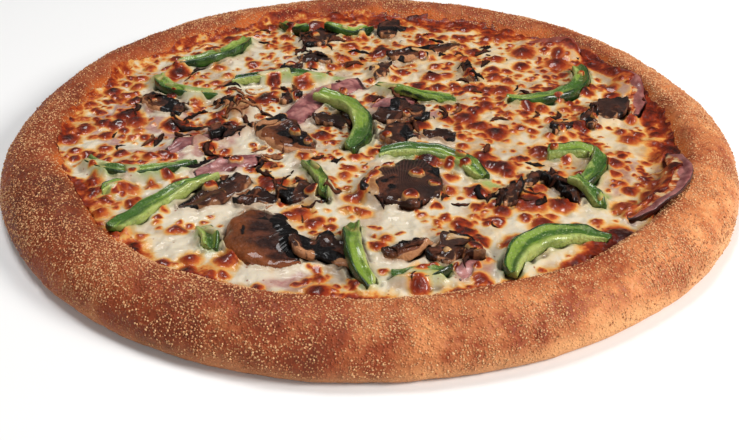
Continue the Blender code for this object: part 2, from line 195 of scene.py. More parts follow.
class Dressing:
    """A material under construction, whose nodes are made by expressions."""

    def __init__(self, name: str) -> None:
        """Starts a material with its Principled BSDF.

        Args:
            name: the material's name.
        """
        self.material = bpy.data.materials.new(name)
        self.material.use_nodes = True
        self.tree = self.material.node_tree
        self.surface = self.tree.nodes["Principled BSDF"]
        self.place = self.node("ShaderNodeTexCoord", {}, {}, "Object")

    def node(self, kind: str, settings: dict[str, Any], inputs: dict[Any, Any], output: Any = 0) -> Link:
        """Adds any node.

        Args:
            kind: the node's type.
            settings: its properties, set first. stops are a ramp's.
            inputs: a value or a link for each of its sockets.
            output: which output to return.

        Returns:
            The chosen output.
        """
        made = self.tree.nodes.new(kind)
        for key, value in settings.items():
            if key == "stops":
                self._set_stops(made.color_ramp, value)
            else:
                setattr(made, key, value)
        for key, value in inputs.items():
            self._feed(made.inputs[key], value)
        return Link(self, made.outputs[output])

    @staticmethod
    def _set_stops(ramp: bpy.types.ColorRamp, stops: Sequence[tuple[float, Colour]]) -> None:
        """Gives a ramp its stops.

        Args:
            ramp: the ramp.
            stops: each stop's position and colour.
        """
        while len(ramp.elements) < len(stops):
            ramp.elements.new(1.0)
        for element, (position, colour) in zip(ramp.elements, stops):
            element.position = position
            element.color = (*colour, 1.0)

    def _feed(self, socket: bpy.types.NodeSocket, value: Any) -> None:
        """Links or sets one input.

        Args:
            socket: the input.
            value: a link, or the value itself.
        """
        if isinstance(value, Link):
            self.tree.links.new(value.socket, socket)
        elif isinstance(value, tuple) and len(value) == 3 and socket.type == "RGBA":
            socket.default_value = (*value, 1.0)
        else:
            socket.default_value = value

    def mask(self, name: str) -> Link:
        """A value that the mesh carries at its points."""
        return self.node("ShaderNodeAttribute", {"attribute_name": name}, {}, "Fac")

    def cloud(self, size: float, detail: float = 3.0, rough: float = 0.55, warp: float = 0.0) -> Link:
        """Noise from 0 to 1 whose spots are about size across."""
        inputs = {
            "Vector": self.place, "Scale": 1 / size, "Detail": detail, "Roughness": rough, "Distortion": warp,
        }
        return self.node("ShaderNodeTexNoise", {}, inputs, "Fac")

    def cells(self, size: float, feature: str = "F1") -> Link:
        """The distance to the middles of cells about size across."""
        inputs = {"Vector": self.place, "Scale": 1 / size}
        return self.node("ShaderNodeTexVoronoi", {"feature": feature}, inputs, "Distance")

    def mix(self, share: Value, low: Paint, high: Paint) -> Link:
        """One colour going over into another."""
        settings = {"data_type": "RGBA"}
        return self.node("ShaderNodeMix", settings, {0: share, 6: low, 7: high}, 2)

    def ramp(self, share: Value, *stops: tuple[float, Colour]) -> Link:
        """Colours along a value."""
        return self.node("ShaderNodeValToRGB", {"stops": stops}, {"Fac": share})

    def bump(
        self, height: Link, distance: float, strength: float = 1.0, under: Optional[Link] = None
    ) -> Link:
        """A normal from a height.

        Args:
            height: the height, 0 to 1.
            distance: what a height of 1 stands for, in metres.
            strength: how much it counts.
            under: the normal that it comes on top of.

        Returns:
            The normal.
        """
        inputs: dict[Any, Any] = {"Height": height, "Distance": distance, "Strength": strength}
        if under:
            inputs["Normal"] = under
        return self.node("ShaderNodeBump", {}, inputs, "Normal")

    def finish(self, linked: dict[str, Link], fixed: dict[str, Any]) -> bpy.types.Material:
        """Connects the surface.

        Args:
            linked: what varies, by the socket's name.
            fixed: what is the same all over.

        Returns:
            The material.
        """
        for key, value in {**linked, **fixed}.items():
            self._feed(self.surface.inputs[key], value)
        return self.material


@dataclass(frozen=True)
class CrustFinish:
    """Baked dough, reddish brown and dull, paler low down, gold where it meets the cheese, painted lighter
    where the key lamp falls.
    """

    dark: Colour = srgb(88, 34, 18)
    middle: Colour = srgb(148, 66, 32)
    light: Colour = srgb(208, 130, 78)
    pale: Colour = srgb(230, 170, 114)
    gold: Colour = srgb(200, 98, 30)
    grain: Colour = srgb(224, 164, 108)
    grain_size: float = 0.00105

    def material(self) -> bpy.types.Material:
        """Builds the material.

        Returns:
            The material.
        """
        d = Dressing("baked_crust")
        broad = d.cloud(0.045, 3.0)
        patches = d.cloud(0.012, 4.0, 0.6)
        fine = d.cloud(0.0022, 3.0, 0.65)
        tone = broad * 0.46 + patches * 0.34 + fine * 0.28 - 0.09
        # painted light: the side that the key lamp lights most is painted lighter and more mottled
        tone = tone + d.mask("fair") * ((patches - 0.5) * 0.50 + 0.25)
        base = d.ramp(tone, (0.30, self.dark), (0.50, self.middle), (0.72, self.light), (0.92, self.pale))
        # paler low down: partly the under-edge's own colour, partly painted light, stronger on the key-lit
        # side
        base = d.mix(d.mask("low") * 0.75, base, self.pale)
        base = d.mix(d.mask("gold") * (patches * 0.8 + 0.35), base, self.gold)
        # a few more pale specks where light is painted on, fewer low down
        crowd = d.cloud(0.008, 4.0, 0.6) + d.mask("fair") * 0.04 - d.mask("low") * 0.12
        pebble = d.cells(self.grain_size)
        speck = pebble.between(0.46, 0.16) * crowd.between(0.38, 0.60)
        base = d.mix(speck * 0.70, base, self.grain)
        # painted shade: darker in the gaps between the pebbles
        base = d.mix(pebble.between(0.48, 0.75) * 0.10, base, self.dark)
        pits = d.cells(0.0032, "SMOOTH_F1")
        normal = d.bump(patches * 0.6 + pits * 0.5, 0.0013, 0.8)
        normal = d.bump(fine * 0.6 + pebble.between(0.60, 0.0) * 0.8, 0.0006, 0.9, normal)
        varied = {"Base Color": base, "Roughness": fine * 0.25 + 0.42, "Normal": normal}
        return d.finish(varied, {"Specular IOR Level": 0.25})


@dataclass(frozen=True)
class CornmealFinish:
    """Grains of cornmeal, from straw to toasted orange."""

    toasted: Colour = srgb(176, 102, 60)
    straw: Colour = srgb(228, 180, 130)

    def material(self) -> bpy.types.Material:
        """Builds the material.

        Returns:
            The material.
        """
        d = Dressing("cornmeal")
        tone = d.mask("tone") + d.cloud(0.0006, 1.0) * 0.3 - 0.15
        base = d.mix(tone.between(0.0, 1.0), self.toasted, self.straw)
        return d.finish({"Base Color": base}, {"Roughness": 0.55, "Specular IOR Level": 0.4})


@dataclass(frozen=True)
class CheeseFinish:
    """Melted cheese, from milky through gold to the glossy reddish brown of a blister, along its heat."""

    milk: Colour = srgb(206, 194, 172)
    cream: Colour = srgb(208, 181, 138)
    yellow: Colour = srgb(208, 150, 76)
    orange: Colour = srgb(178, 86, 34)
    brown: Colour = srgb(134, 42, 14)
    deep: Colour = srgb(88, 24, 10)
    dark: Colour = srgb(46, 13, 8)
    mauve: Colour = srgb(160, 110, 104)
    green: Colour = srgb(122, 146, 66)
    umber: Colour = srgb(140, 90, 52)
    # painted shade: dark brown laid into the hollows beside the toppings
    crease: Colour = srgb(46, 18, 8)

    def material(self) -> bpy.types.Material:
        """Builds the material.

        Returns:
            The material.
        """
        d = Dressing("melted_cheese")
        heat, toast, thin = d.mask("roast"), d.mask("toast"), d.mask("thin")
        drift = d.cloud(0.0015, 3.0, 0.6) - 0.5
        broad = d.cloud(0.007, 3.0) - 0.5
        band = toast * 0.50 + toast * broad * 1.2
        warm = heat.most(band) + thin * 0.16 + broad * 0.30 + d.mask("cream") * 0.09
        warm = warm + drift * (heat * 0.20 + toast * 0.25 + 0.10)
        body = d.ramp(
            warm, (0.02, self.milk), (0.12, self.cream), (0.26, self.yellow), (0.39, self.orange),
            (0.54, self.brown), (0.76, self.deep), (1.0, self.dark),
        )
        clear = (0.34 - warm).between(0.0, 0.22) * (drift * 0.8 + 0.9)
        body = d.mix(d.mask("mauve") * clear, body, self.mauve)
        body = d.mix(d.mask("umber") * clear, body, self.umber)
        body = d.mix(d.mask("green") * clear, body, self.green)
        dot = d.cells(0.0042).between(0.15, 0.07) * d.cloud(0.012, 2.0).between(0.40, 0.55)
        body = d.mix(dot * 0.75, body, self.brown)
        # painted shade in the hollows beside the toppings
        body = d.mix(d.mask("crease") * 0.85, body, self.crease)
        wrinkle = d.cloud(0.0013, 3.0, 0.6, 0.4) * (heat * 0.5 + 0.25) + d.cloud(0.004, 2.0) * 0.5
        normal = d.bump(wrinkle, 0.0008, 0.75)
        rough = 0.42 - heat * 0.10 + drift * 0.2
        coat = (heat * 0.35 + 0.20) * (1 - toast * 0.85)
        fixed = {
            "Subsurface Weight": 0.10, "Subsurface Radius": (0.004, 0.0025, 0.0012), "Subsurface Scale": 0.4,
            "Specular IOR Level": 0.18, "Coat Roughness": 0.05,
        }
        varied = {"Base Color": body, "Roughness": rough, "Normal": normal, "Coat Weight": coat}
        return d.finish(varied, fixed)


@dataclass(frozen=True)
class PepperFinish:
    """Green pepper: dark glossy skin on the outer side, moist paler flesh, pale at the hollow side."""

    skin: Colour = srgb(22, 46, 14)
    skin_light: Colour = srgb(56, 94, 28)
    flesh: Colour = srgb(56, 92, 18)
    flesh_light: Colour = srgb(120, 146, 48)
    pith: Colour = srgb(166, 178, 94)
    smear: Colour = srgb(182, 190, 142)

    def material(self) -> bpy.types.Material:
        """Builds the material.

        Returns:
            The material.
        """
        d = Dressing("green_pepper")
        skin, pith = d.mask("skin"), d.mask("pith")
        streak = d.mask("streak") + (d.cloud(0.003, 3.0, 0.6) - 0.5) * 0.5
        fine = d.cloud(0.0009, 2.0)
        flesh = d.mix(streak.between(0.20, 0.75), self.flesh, self.flesh_light)
        flesh = d.mix(pith * (streak * 0.8 + 0.4), flesh, self.pith)
        smear = d.cloud(0.005, 4.0, 0.65, 1.2).between(0.56, 0.78)
        flesh = d.mix(d.cloud(0.0018, 4.0, 0.65, 0.5).between(0.52, 0.70) * 0.5, flesh, self.skin_light)
        frost = d.cells(0.0010).between(0.40, 0.12) * d.cloud(0.006, 2.0).between(0.42, 0.60)
        flesh = d.mix(smear * 0.45 + frost * 0.6, flesh, self.smear)
        outer = d.mix(d.cloud(0.007, 3.0).between(0.40, 0.72), self.skin, self.skin_light)
        base = d.mix((skin + (fine - 0.5) * 0.3).between(0.30, 0.60), flesh, outer)
        crisp = d.cloud(0.0018, 4.0, 0.65, 0.5)
        flesh_bump = (streak * 0.6 + crisp * 1.0) * (1 - skin * 0.7)
        normal = d.bump(flesh_bump + fine * 0.4, 0.0009, 0.9)
        rough = 0.36 - skin * 0.12 + (fine - 0.5) * 0.15
        fixed = {
            "Subsurface Weight": 0.08, "Subsurface Radius": (0.001, 0.003, 0.0008), "Subsurface Scale": 0.5,
            "Specular IOR Level": 0.35, "Coat Weight": 0.5, "Coat Roughness": 0.10,
        }
        return d.finish({"Base Color": base, "Roughness": rough, "Normal": normal}, fixed)


@dataclass(frozen=True)
class MushroomFinish:
    """Roasted mushroom: brown cap skin, tan flesh, gills nearly black, and burnt edges."""

    skin: Colour = srgb(36, 15, 10)
    skin_light: Colour = srgb(98, 52, 34)
    flesh: Colour = srgb(184, 128, 88)
    gill: Colour = srgb(34, 17, 13)
    gill_light: Colour = srgb(98, 62, 50)
    burnt: Colour = srgb(8, 4, 4)
    amber: Colour = srgb(144, 76, 32)

    def material(self) -> bpy.types.Material:
        """Builds the material.

        Returns:
            The material.
        """
        d = Dressing("roasted_mushroom")
        gill, burnt, tan = d.mask("gill"), d.mask("burnt"), d.mask("tan")
        patches = d.cloud(0.006, 4.0, 0.6, 0.3)
        fine = d.cloud(0.0012, 3.0, 0.6)
        turn = d.node("ShaderNodeMath", {"operation": "ARCTAN2"}, {0: d.mask("gill_y"), 1: d.mask("gill_x")})
        phase = turn * GILLS + patches * 5 + fine * 1.5
        wave = d.node("ShaderNodeMath", {"operation": "SINE"}, {0: phase})
        comb = wave * 0.5 + 0.5
        gilled = (gill + patches * 0.5 - 0.25).between(0.30, 0.70)
        base = d.mix(patches.between(0.40, 0.68), self.skin, self.skin_light)
        base = d.mix(d.mask("amber") * (patches * 0.6 + 0.5), base, self.amber)
        base = d.mix((tan + patches * 0.5 - 0.25).between(0.25, 0.75), base, self.flesh)
        shade = comb * 0.35 + d.mask("lit") * 0.65 + (patches - 0.5) * 0.6 - 0.08
        base = d.mix(gilled, base, d.mix(shade, self.gill, self.gill_light))
        base = d.mix((burnt + (fine - 0.5) * 0.6).between(0.35, 0.65), base, self.burnt)
        wrinkle = d.cloud(0.0022, 4.0, 0.65, 0.8)
        normal = d.bump(patches * 0.5 + wrinkle * 0.9 + fine * 0.4 + comb * gilled * 0.35, 0.0009, 1.0)
        rough = (fine - 0.5) * 0.3 + 0.38 + gilled * 0.12
        coat = 0.34 - burnt.between(0.2, 0.8) * 0.16
        varied = {"Base Color": base, "Roughness": rough, "Normal": normal, "Coat Weight": coat}
        return d.finish(varied, {"Specular IOR Level": 0.16, "Coat Roughness": 0.05})


@dataclass(frozen=True)
class HamFinish:
    """Cooked ham: pink and moist, browner in patches, with a dark rim."""

    pink: Colour = srgb(176, 118, 112)
    rose: Colour = srgb(112, 58, 60)
    baked: Colour = srgb(140, 62, 44)
    rim: Colour = srgb(50, 18, 18)
    cream: Colour = srgb(212, 186, 140)
    orange: Colour = srgb(184, 88, 32)
    brown: Colour = srgb(112, 34, 14)

    def material(self) -> bpy.types.Material:
        """Builds the material.

        Returns:
            The material.
        """
        d = Dressing("cooked_ham")
        rim = d.mask("rim")
        patches = d.cloud(0.007, 4.0, 0.6, 0.4)
        fine = d.cloud(0.0011, 3.0)
        base = d.mix(patches.between(0.32, 0.62), self.pink, self.rose)
        base = d.mix(d.mask("baked") * (patches * 0.5 + 0.65), base, self.baked)
        spots = d.cloud(0.0045, 3.0, 0.5, 0.4)
        browned = spots + d.mask("baked") * 0.12
        cover = d.ramp(browned, (0.42, self.cream), (0.54, self.orange), (0.66, self.brown))
        base = d.mix((d.mask("veil") + (patches - 0.5) * 0.8).between(0.35, 0.65), base, cover)
        base = d.mix((rim + (fine - 0.5) * 0.4).between(0.35, 0.75), base, self.rim)
        normal = d.bump(patches * 0.5 + fine * 0.4, 0.0005, 0.6)
        rough = 0.36 + (fine - 0.5) * 0.2
        fixed = {
            "Subsurface Weight": 0.08, "Subsurface Radius": (0.003, 0.001, 0.001), "Subsurface Scale": 0.5,
            "Specular IOR Level": 0.35, "Coat Weight": 0.3, "Coat Roughness": 0.15,
        }
        return d.finish({"Base Color": base, "Roughness": rough, "Normal": normal}, fixed)


@dataclass(frozen=True)
class CrumbFinish:
    """Scraps from nearly black to toasted brown."""

    black: Colour = srgb(16, 7, 6)
    brown: Colour = srgb(84, 42, 24)
    tan: Colour = srgb(168, 112, 74)

    def material(self) -> bpy.types.Material:
        """Builds the material.

        Returns:
            The material.
        """
        d = Dressing("scraps")
        tone = d.mask("tone") + (d.cloud(0.0015, 3.0) - 0.5) * 0.7
        base = d.ramp(tone, (0.15, self.black), (0.55, self.brown), (0.95, self.tan))
        normal = d.bump(d.cloud(0.0009, 3.0), 0.0004, 0.8)
        fixed = {"Roughness": 0.55, "Specular IOR Level": 0.12}
        return d.finish({"Base Color": base, "Normal": normal}, fixed)


@dataclass(frozen=True)
class FloorFinish:
    """A plain pale floor, barely mottled."""

    white: Colour = (0.90, 0.90, 0.90)
    shade: Colour = (0.86, 0.86, 0.86)

    def material(self) -> bpy.types.Material:
        """Builds the material.

        Returns:
            The material.
        """
        d = Dressing("pale_floor")
        base = d.mix(d.cloud(0.4, 2.0), self.white, self.shade)
        return d.finish({"Base Color": base}, {"Roughness": 0.85, "Specular IOR Level": 0.1})


def make_piece(
    name: str,
    points: Array,
    faces: Sequence[Array],
    masks: dict[str, Array],
    material: bpy.types.Material,
    nodes: Sequence[str] = (),
) -> bpy.types.Object:
    """Makes one piece of the object and has it ride on the body.

    Args:
        name: the piece's name.
        points: its corners, one row each.
        faces: arrays of faces, each with its own count of corners a face.
        masks: values at the corners, by name.
        material: its finish.
        nodes: the solids that it stands for.

    Returns:
        The piece.
    """
    mesh = bpy.data.meshes.new(name)
    counts = np.concatenate([np.full(len(group), group.shape[1]) for group in faces])
    corners = np.concatenate([group.reshape(-1) for group in faces]).astype(np.int32)
    starts = np.concatenate([[0], np.cumsum(counts)[:-1]]).astype(np.int32)
    mesh.vertices.add(len(points))
    mesh.vertices.foreach_set("co", np.asarray(points, np.float32).reshape(-1))
    mesh.loops.add(len(corners))
    mesh.loops.foreach_set("vertex_index", corners)
    mesh.polygons.add(len(counts))
    mesh.polygons.foreach_set("loop_start", starts)
    mesh.update(calc_edges=True)
    mesh.validate()
    for key, values in masks.items():
        attribute = mesh.attributes.new(key, "FLOAT", "POINT")
        attribute.data.foreach_set("value", np.asarray(values, np.float32).reshape(-1))
    mesh.shade_smooth()
    mesh.materials.append(material)
    piece = bpy.data.objects.new(name, mesh)
    bpy.context.scene.collection.objects.link(piece)
    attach(piece, BODY)
    if nodes:
        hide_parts(*nodes)
    LOG.info("%s: %d points, %d faces", name, len(points), len(counts))
    return piece


def tube_faces(rings: int, around: int) -> Array:
    """Quads between closed rings of the same count, numbered ring by ring.

    Args:
        rings: how many rings there are.
        around: how many points a ring has.

    Returns:
        The quads.
    """
    ring, step = np.meshgrid(np.arange(rings - 1), np.arange(around), indexing="ij")
    ring, step = ring.reshape(-1), step.reshape(-1)
    following = (step + 1) % around
    this, further = ring * around, (ring + 1) * around
    return np.stack([this + step, this + following, further + following, further + step], axis=1)


def fan_faces(first: int, around: int, middle: int, flip: bool) -> Array:
    """Triangles from a ring to one middle point.

    Args:
        first: the ring's first point.
        around: how many points the ring has.
        middle: the middle point.
        flip: whether the triangles face the other way.

    Returns:
        The triangles.
    """
    step = np.arange(around)
    sides = [first + step, first + (step + 1) % around]
    if flip:
        sides.reverse()
    return np.stack([*sides, np.full(around, middle)], axis=1)


def solid_tree(names: Sequence[str]) -> tuple[BVHTree, Array]:
    """A tree to cast rays at some of the solids.

    Args:
        names: the solids.

    Returns:
        The tree, and the place in names that each face belongs to.
    """
    corners: list[Vector] = []
    faces: list[list[int]] = []
    owners: list[int] = []
    for place, name in enumerate(names):
        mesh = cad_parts[name].data
        shift = len(corners)
        corners += [v.co.copy() for v in mesh.vertices]
        for polygon in mesh.polygons:
            faces.append([shift + index for index in polygon.vertices])
            owners.append(place)
    return BVHTree.FromPolygons(corners, faces), np.array(owners)


@dataclass(frozen=True)
class Dough:
    """The crust's form: the sizes that its solid was made from."""

    outer: float = 0.175
    rim_width: float = 0.031
    crest_inset: float = 0.0215
    crest: float = 0.0225
    widest: float = 0.0048
    base_inset: float = 0.005
    floor: float = 0.009
    join: float = 0.0150
    wall_lean: float = 0.0022
    climb_power: float = 1.3

    @staticmethod
    def wave(angle: Array, *terms: Triple) -> Array:
        """A sum of waves round the pizza, each given as its count, size and phase."""
        return sum(size * np.cos(count * angle + phase) for count, size, phase in terms)

    def outside(self, angle: Array) -> Array:
        """The radius at the widest."""
        return self.outer + self.wave(angle, (3, 0.0006, 1.0), (5, 0.0004, 2.3), (11, 0.0002, 0.4))

    def inside(self, angle: Array) -> Array:
        """The radius where the crust meets the cheese."""
        uneven = self.wave(angle, (2, 0.0012, 0.6), (5, 0.0013, 4.0), (9, 0.0009, 1.9), (17, 0.0006, 5.1))
        return self.outer - self.rim_width + uneven

    def top(self, angle: Array) -> Array:
        """The height of the rim."""
        uneven = self.wave(angle, (2, 0.0005, 2.0), (7, 0.0004, 0.3), (13, 0.0003, 3.3))
        return self.crest + uneven - 0.0006

    def slope(self, radius: Array, angle: Array) -> Array:
        """The rim's inner slope, from the cheese to the crest.

        Args:
            radius, angle: where.

        Returns:
            The height there.
        """
        inside, crest = self.inside(angle), self.outside(angle) - self.crest_inset
        share = np.clip((radius - inside) / (crest - inside), 0, 1)
        climb = np.sin(share * math.pi / 2) ** self.climb_power
        return self.join + (self.top(angle) - self.join) * climb

    def profile(self, angle: Array, steps: tuple[int, int, int]) -> tuple[Array, Array, Array]:
        """The outline from the foot of the inner wall over the rim to the base, at each angle.

        Args:
            angle: the angles.
            steps: how many steps the inner slope, the outer dome and the tuck under it have.

        Returns:
            Radius and height, one column for each point of the outline, and the point's place on it: below 0
            on the inner slope, 0 on the crest, 1 at the widest, 2 at the base.
        """
        inside, outside, top = self.inside(angle), self.outside(angle), self.top(angle)
        crest = outside - self.crest_inset
        base = outside - self.base_inset
        columns = [(inside - self.wall_lean, np.full_like(angle, self.floor), -1.1)]
        for share in np.linspace(0, 1, steps[0] + 1):
            radius = inside + (crest - inside) * share
            columns.append((radius, self.slope(radius, angle), share - 1))
        for share in np.linspace(0, 1, steps[1] + 1)[1:]:
            turn = share * math.pi / 2
            radius = crest + (outside - crest) * math.sin(turn)
            columns.append((radius, self.widest + (top - self.widest) * math.cos(turn), share))
        for share in np.linspace(0, 1, steps[2] + 1)[1:]:
            turn = share * math.pi / 2
            radius = base + (outside - base) * math.cos(turn)
            height = self.widest * (1 - math.sin(turn))
            columns.append((radius, np.full_like(angle, height), 1 + share))
        radii = np.stack([c[0] for c in columns], axis=1)
        heights = np.stack([c[1] for c in columns], axis=1)
        return radii, heights, np.array([c[2] for c in columns])


@dataclass
class Crust:
    """The baked rim and base, with its lumps and pits."""

    dough: Dough
    finish: CrustFinish
    around: int = 840
    steps: tuple[int, int, int] = (14, 40, 6)
    lumps: Ripple = field(default_factory=lambda: Ripple(11))
    lump_size: float = 0.021
    lump_height: float = 0.00045
    pit_size: float = 0.0042
    pit_height: float = 0.00022
    # the side that the key lamp lights most, where light is painted on the crust
    lit_side: float = math.radians(-24)
    surface: Array = field(default_factory=lambda: np.zeros((0, 0, 3)))
    normals: Array = field(default_factory=lambda: np.zeros((0, 0, 3)))
    stations: Array = field(default_factory=lambda: np.zeros(0))

    def shape(self) -> None:
        """Works out the skin: points, normals and stations along the outline."""
        angle = np.arange(self.around) * (2 * math.pi / self.around)
        radii, heights, self.stations = self.dough.profile(angle, self.steps)
        points = np.stack([radii * np.cos(angle)[:, None], radii * np.sin(angle)[:, None], heights], axis=2)
        round_way = np.roll(points, -1, axis=0) - np.roll(points, 1, axis=0)
        out_way = np.gradient(points, axis=1)
        normals = np.cross(round_way, out_way)
        normals /= np.linalg.norm(normals, axis=2, keepdims=True)
        if normals[0, self.steps[0] + 1, 2] < 0:
            normals = -normals
        x, y, z = points[..., 0], points[..., 1], points[..., 2]
        relief = self.lump_height * self.lumps.layered(x, y, z, self.lump_size, 2)
        relief += self.pit_height * self.lumps.layered(x, y, z, self.pit_size, 2)
        free = smooth_step((self.stations + 1.0) / 0.2) * smooth_step((2.0 - self.stations) / 0.6)
        self.surface = points + normals * (relief * free)[..., None]
        self.normals = normals

    def masks(self) -> dict[str, Array]:
        """Where the skin is pale, and where light is painted on it.

        Returns:
            The masks: low down, gold by the cheese, and painted light, strongest on the side that the key
                lamp lights most.
        """
        x, y = self.surface[..., 0], self.surface[..., 1]
        drift = self.lumps.layered(x, y, 0.2, 0.018, 3)
        station = np.broadcast_to(self.stations, drift.shape)
        # turn: 1 on the side that the key lamp lights most, -1 opposite it
        turn = np.cos(np.arctan2(y, x) - self.lit_side)
        # paler low down, part real colour and part painted light: wider and stronger towards the key lamp
        low = smooth_step((station - 0.80 + 0.12 * drift + 0.16 * turn) / 0.35)
        low = low * (0.4 + 0.6 * smooth_step(turn))
        gold = smooth_step((-0.30 - station + 0.30 * drift) / 0.55)
        outer = 0.35 + 0.65 * smooth_step((station + 0.15) / 0.6)
        # painted light: lighter towards the key lamp, weaker on the inner slope
        fair = smooth_step(0.08 + 0.90 * turn + 0.35 * drift) * outer
        return {"low": low, "gold": gold, "fair": fair}

    def build(self) -> bpy.types.Object:
        """Makes the crust's piece.

        Returns:
            The piece.
        """
        self.shape()
        around, across = self.surface.shape[:2]
        points = self.surface.reshape(-1, 3)
        floor, base = len(points), len(points) + 1
        points = np.vstack([points, [0, 0, self.dough.floor], [0, 0, 0]])
        index = np.arange(around * across).reshape(around, across)
        following = np.roll(index, -1, axis=0)
        quads = np.stack([index[:, :-1], index[:, 1:], following[:, 1:], following[:, :-1]], axis=2)
        inner = np.stack([index[:, 0], following[:, 0], np.full(around, floor)], axis=1)
        under = np.stack([following[:, -1], index[:, -1], np.full(around, base)], axis=1)
        masks = {key: np.append(values.reshape(-1), [0.0, 1.0]) for key, values in self.masks().items()}
        faces = [quads.reshape(-1, 4), inner, under]
        return make_piece("baked_crust", points, faces, masks, self.finish.material(), ["crust"])


@dataclass
class Cornmeal:
    """Grains of cornmeal stuck all over the rim, each with four corners round it and one above and below."""

    SIDES = np.array([[0, 1, 4], [1, 2, 4], [2, 3, 4], [3, 0, 4], [1, 0, 5], [2, 1, 5], [3, 2, 5], [0, 3, 5]])

    crust: Crust
    finish: CornmealFinish
    count: int = 24000
    tries_each: int = 4
    bare_rows: tuple[int, int] = (3, 6)
    crowd_size: float = 0.016
    size: Pair = (0.00027, 0.00055)
    stretch: Pair = (0.8, 1.5)
    top_and_bottom: Pair = (0.9, 0.6)
    scatter: float = 0.0006
    tone_mean: float = 0.50
    tone_spread: float = 0.28
    seed: int = 5
    crowd_seed: int = 21

    def build(self) -> bpy.types.Object:
        """Makes the grains as one mesh.

        Returns:
            The piece.
        """
        draw = np.random.default_rng(self.seed)
        tries = self.count * self.tries_each
        along = draw.uniform(0, self.crust.surface.shape[0], tries).astype(int)
        first, last = self.bare_rows[0], self.crust.surface.shape[1] - self.bare_rows[1]
        across = draw.uniform(first, last, tries).astype(int)
        spot = self.crust.surface[along, across]
        station = self.crust.stations[across]
        crowd = Ripple(self.crowd_seed).layered(spot[:, 0], spot[:, 1], spot[:, 2], self.crowd_size, 3)
        wanted = np.clip(0.50 + 0.9 * crowd, 0.08, 1.0)
        wanted *= smooth_step((station + 1.0) / 0.15) * (1 - 0.75 * smooth_step((station - 0.72) / 0.3))
        # a few more pale grains on the side where light is painted on the crust
        wanted *= 0.85 + 0.15 * np.cos(np.arctan2(spot[:, 1], spot[:, 0]) - self.crust.lit_side)
        kept = np.flatnonzero(draw.uniform(0, 1, tries) < wanted)[: self.count]
        spot, normal = spot[kept], self.crust.normals[along[kept], across[kept]]
        amount = len(kept)
        spot = spot + draw.uniform(-self.scatter, self.scatter, (amount, 3)) * (1 - np.abs(normal))
        side = np.cross(normal, draw.normal(0, 1, (amount, 3)))
        side /= np.linalg.norm(side, axis=1, keepdims=True)
        other = np.cross(normal, side)
        size = draw.uniform(*self.size, amount)[:, None]
        long = draw.uniform(*self.stretch, amount)[:, None]
        above, below = self.top_and_bottom
        corners = [
            spot + side * size * long, spot + other * size, spot - side * size * long, spot - other * size,
            spot + normal * size * above, spot - normal * size * below,
        ]
        each = len(corners)
        faces = (self.SIDES[None] + each * np.arange(amount)[:, None, None]).reshape(-1, 3)
        tone = np.repeat(np.clip(draw.normal(self.tone_mean, self.tone_spread, amount), 0, 1), each)
        points = np.stack(corners, axis=1).reshape(-1, 3)
        material = self.finish.material()
        return make_piece("cornmeal_grains", points, [faces], {"tone": tone}, material)


def rounded(corners: Sequence[Pair], steps: int = 3) -> Array:
    """A closed smooth line through some corners.

    Args:
        corners: the corners.
        steps: how many points each stretch gets.

    Returns:
        The line's points.
    """
    knots = np.array(corners, float)
    line = []
    for k in range(len(knots)):
        a, b, c, e = (knots[(k + shift) % len(knots)] for shift in (-1, 0, 1, 2))
        for t in np.arange(steps) / steps:
            bend, twist = 2 * a - 5 * b + 4 * c - e, 3 * b - a - 3 * c + e
            line.append(0.5 * (2 * b + (c - a) * t + bend * t**2 + twist * t**3))
    return np.array(line)


def fill_gaps(values: Array, closed: bool = False) -> Array:
    """Fills what is missing in a row of values from the values beside it.

    Args:
        values: the row, with nan where a value is missing.
        closed: whether the row's end meets its start.

    Returns:
        The whole row.
    """
    known = np.flatnonzero(~np.isnan(values))
    places = np.arange(len(values))
    if closed:
        return np.interp(places, known, values[known], period=len(values))
    return np.interp(places, known, values[known])


class Cut(Enum):
    """The cut faces of the strips: across, -1 at the hollow side and 1 at the outer side, and up, 0 to 1."""

    PEPPER = (
        (-0.80, 0.02), (0.0, 0.0), (0.85, 0.02), (1.0, 0.30), (1.0, 0.66), (0.84, 0.98), (0.60, 0.96),
        (0.30, 0.80), (-0.15, 0.76), (-0.52, 0.90), (-0.86, 0.88), (-1.0, 0.45),
    )
    CURL = (
        (-0.92, 0.02), (0.0, 0.0), (0.94, 0.02), (1.0, 0.42), (0.82, 0.86), (0.45, 1.0), (0.05, 0.84),
        (-0.30, 0.80), (-0.66, 1.0), (-0.92, 0.80), (-1.0, 0.40),
    )
    HAM = (
        (-0.95, 0.02), (0.0, 0.0), (0.95, 0.02), (1.02, 0.55), (0.95, 1.05), (0.45, 0.92), (0.0, 0.80),
        (-0.5, 0.84), (-0.92, 0.72), (-1.0, 0.35),
    )


class Edge(Enum):
    """The edges of the flat slices, as waves (count, size, phase) on a unit circle."""

    ROUND = ((2, 0.03, 0.5), (3, 0.05, 1.2), (5, 0.03, 2.0))
    TORN = ((2, 0.10, 0.3), (3, 0.17, 2.1), (5, 0.15, 4.4))


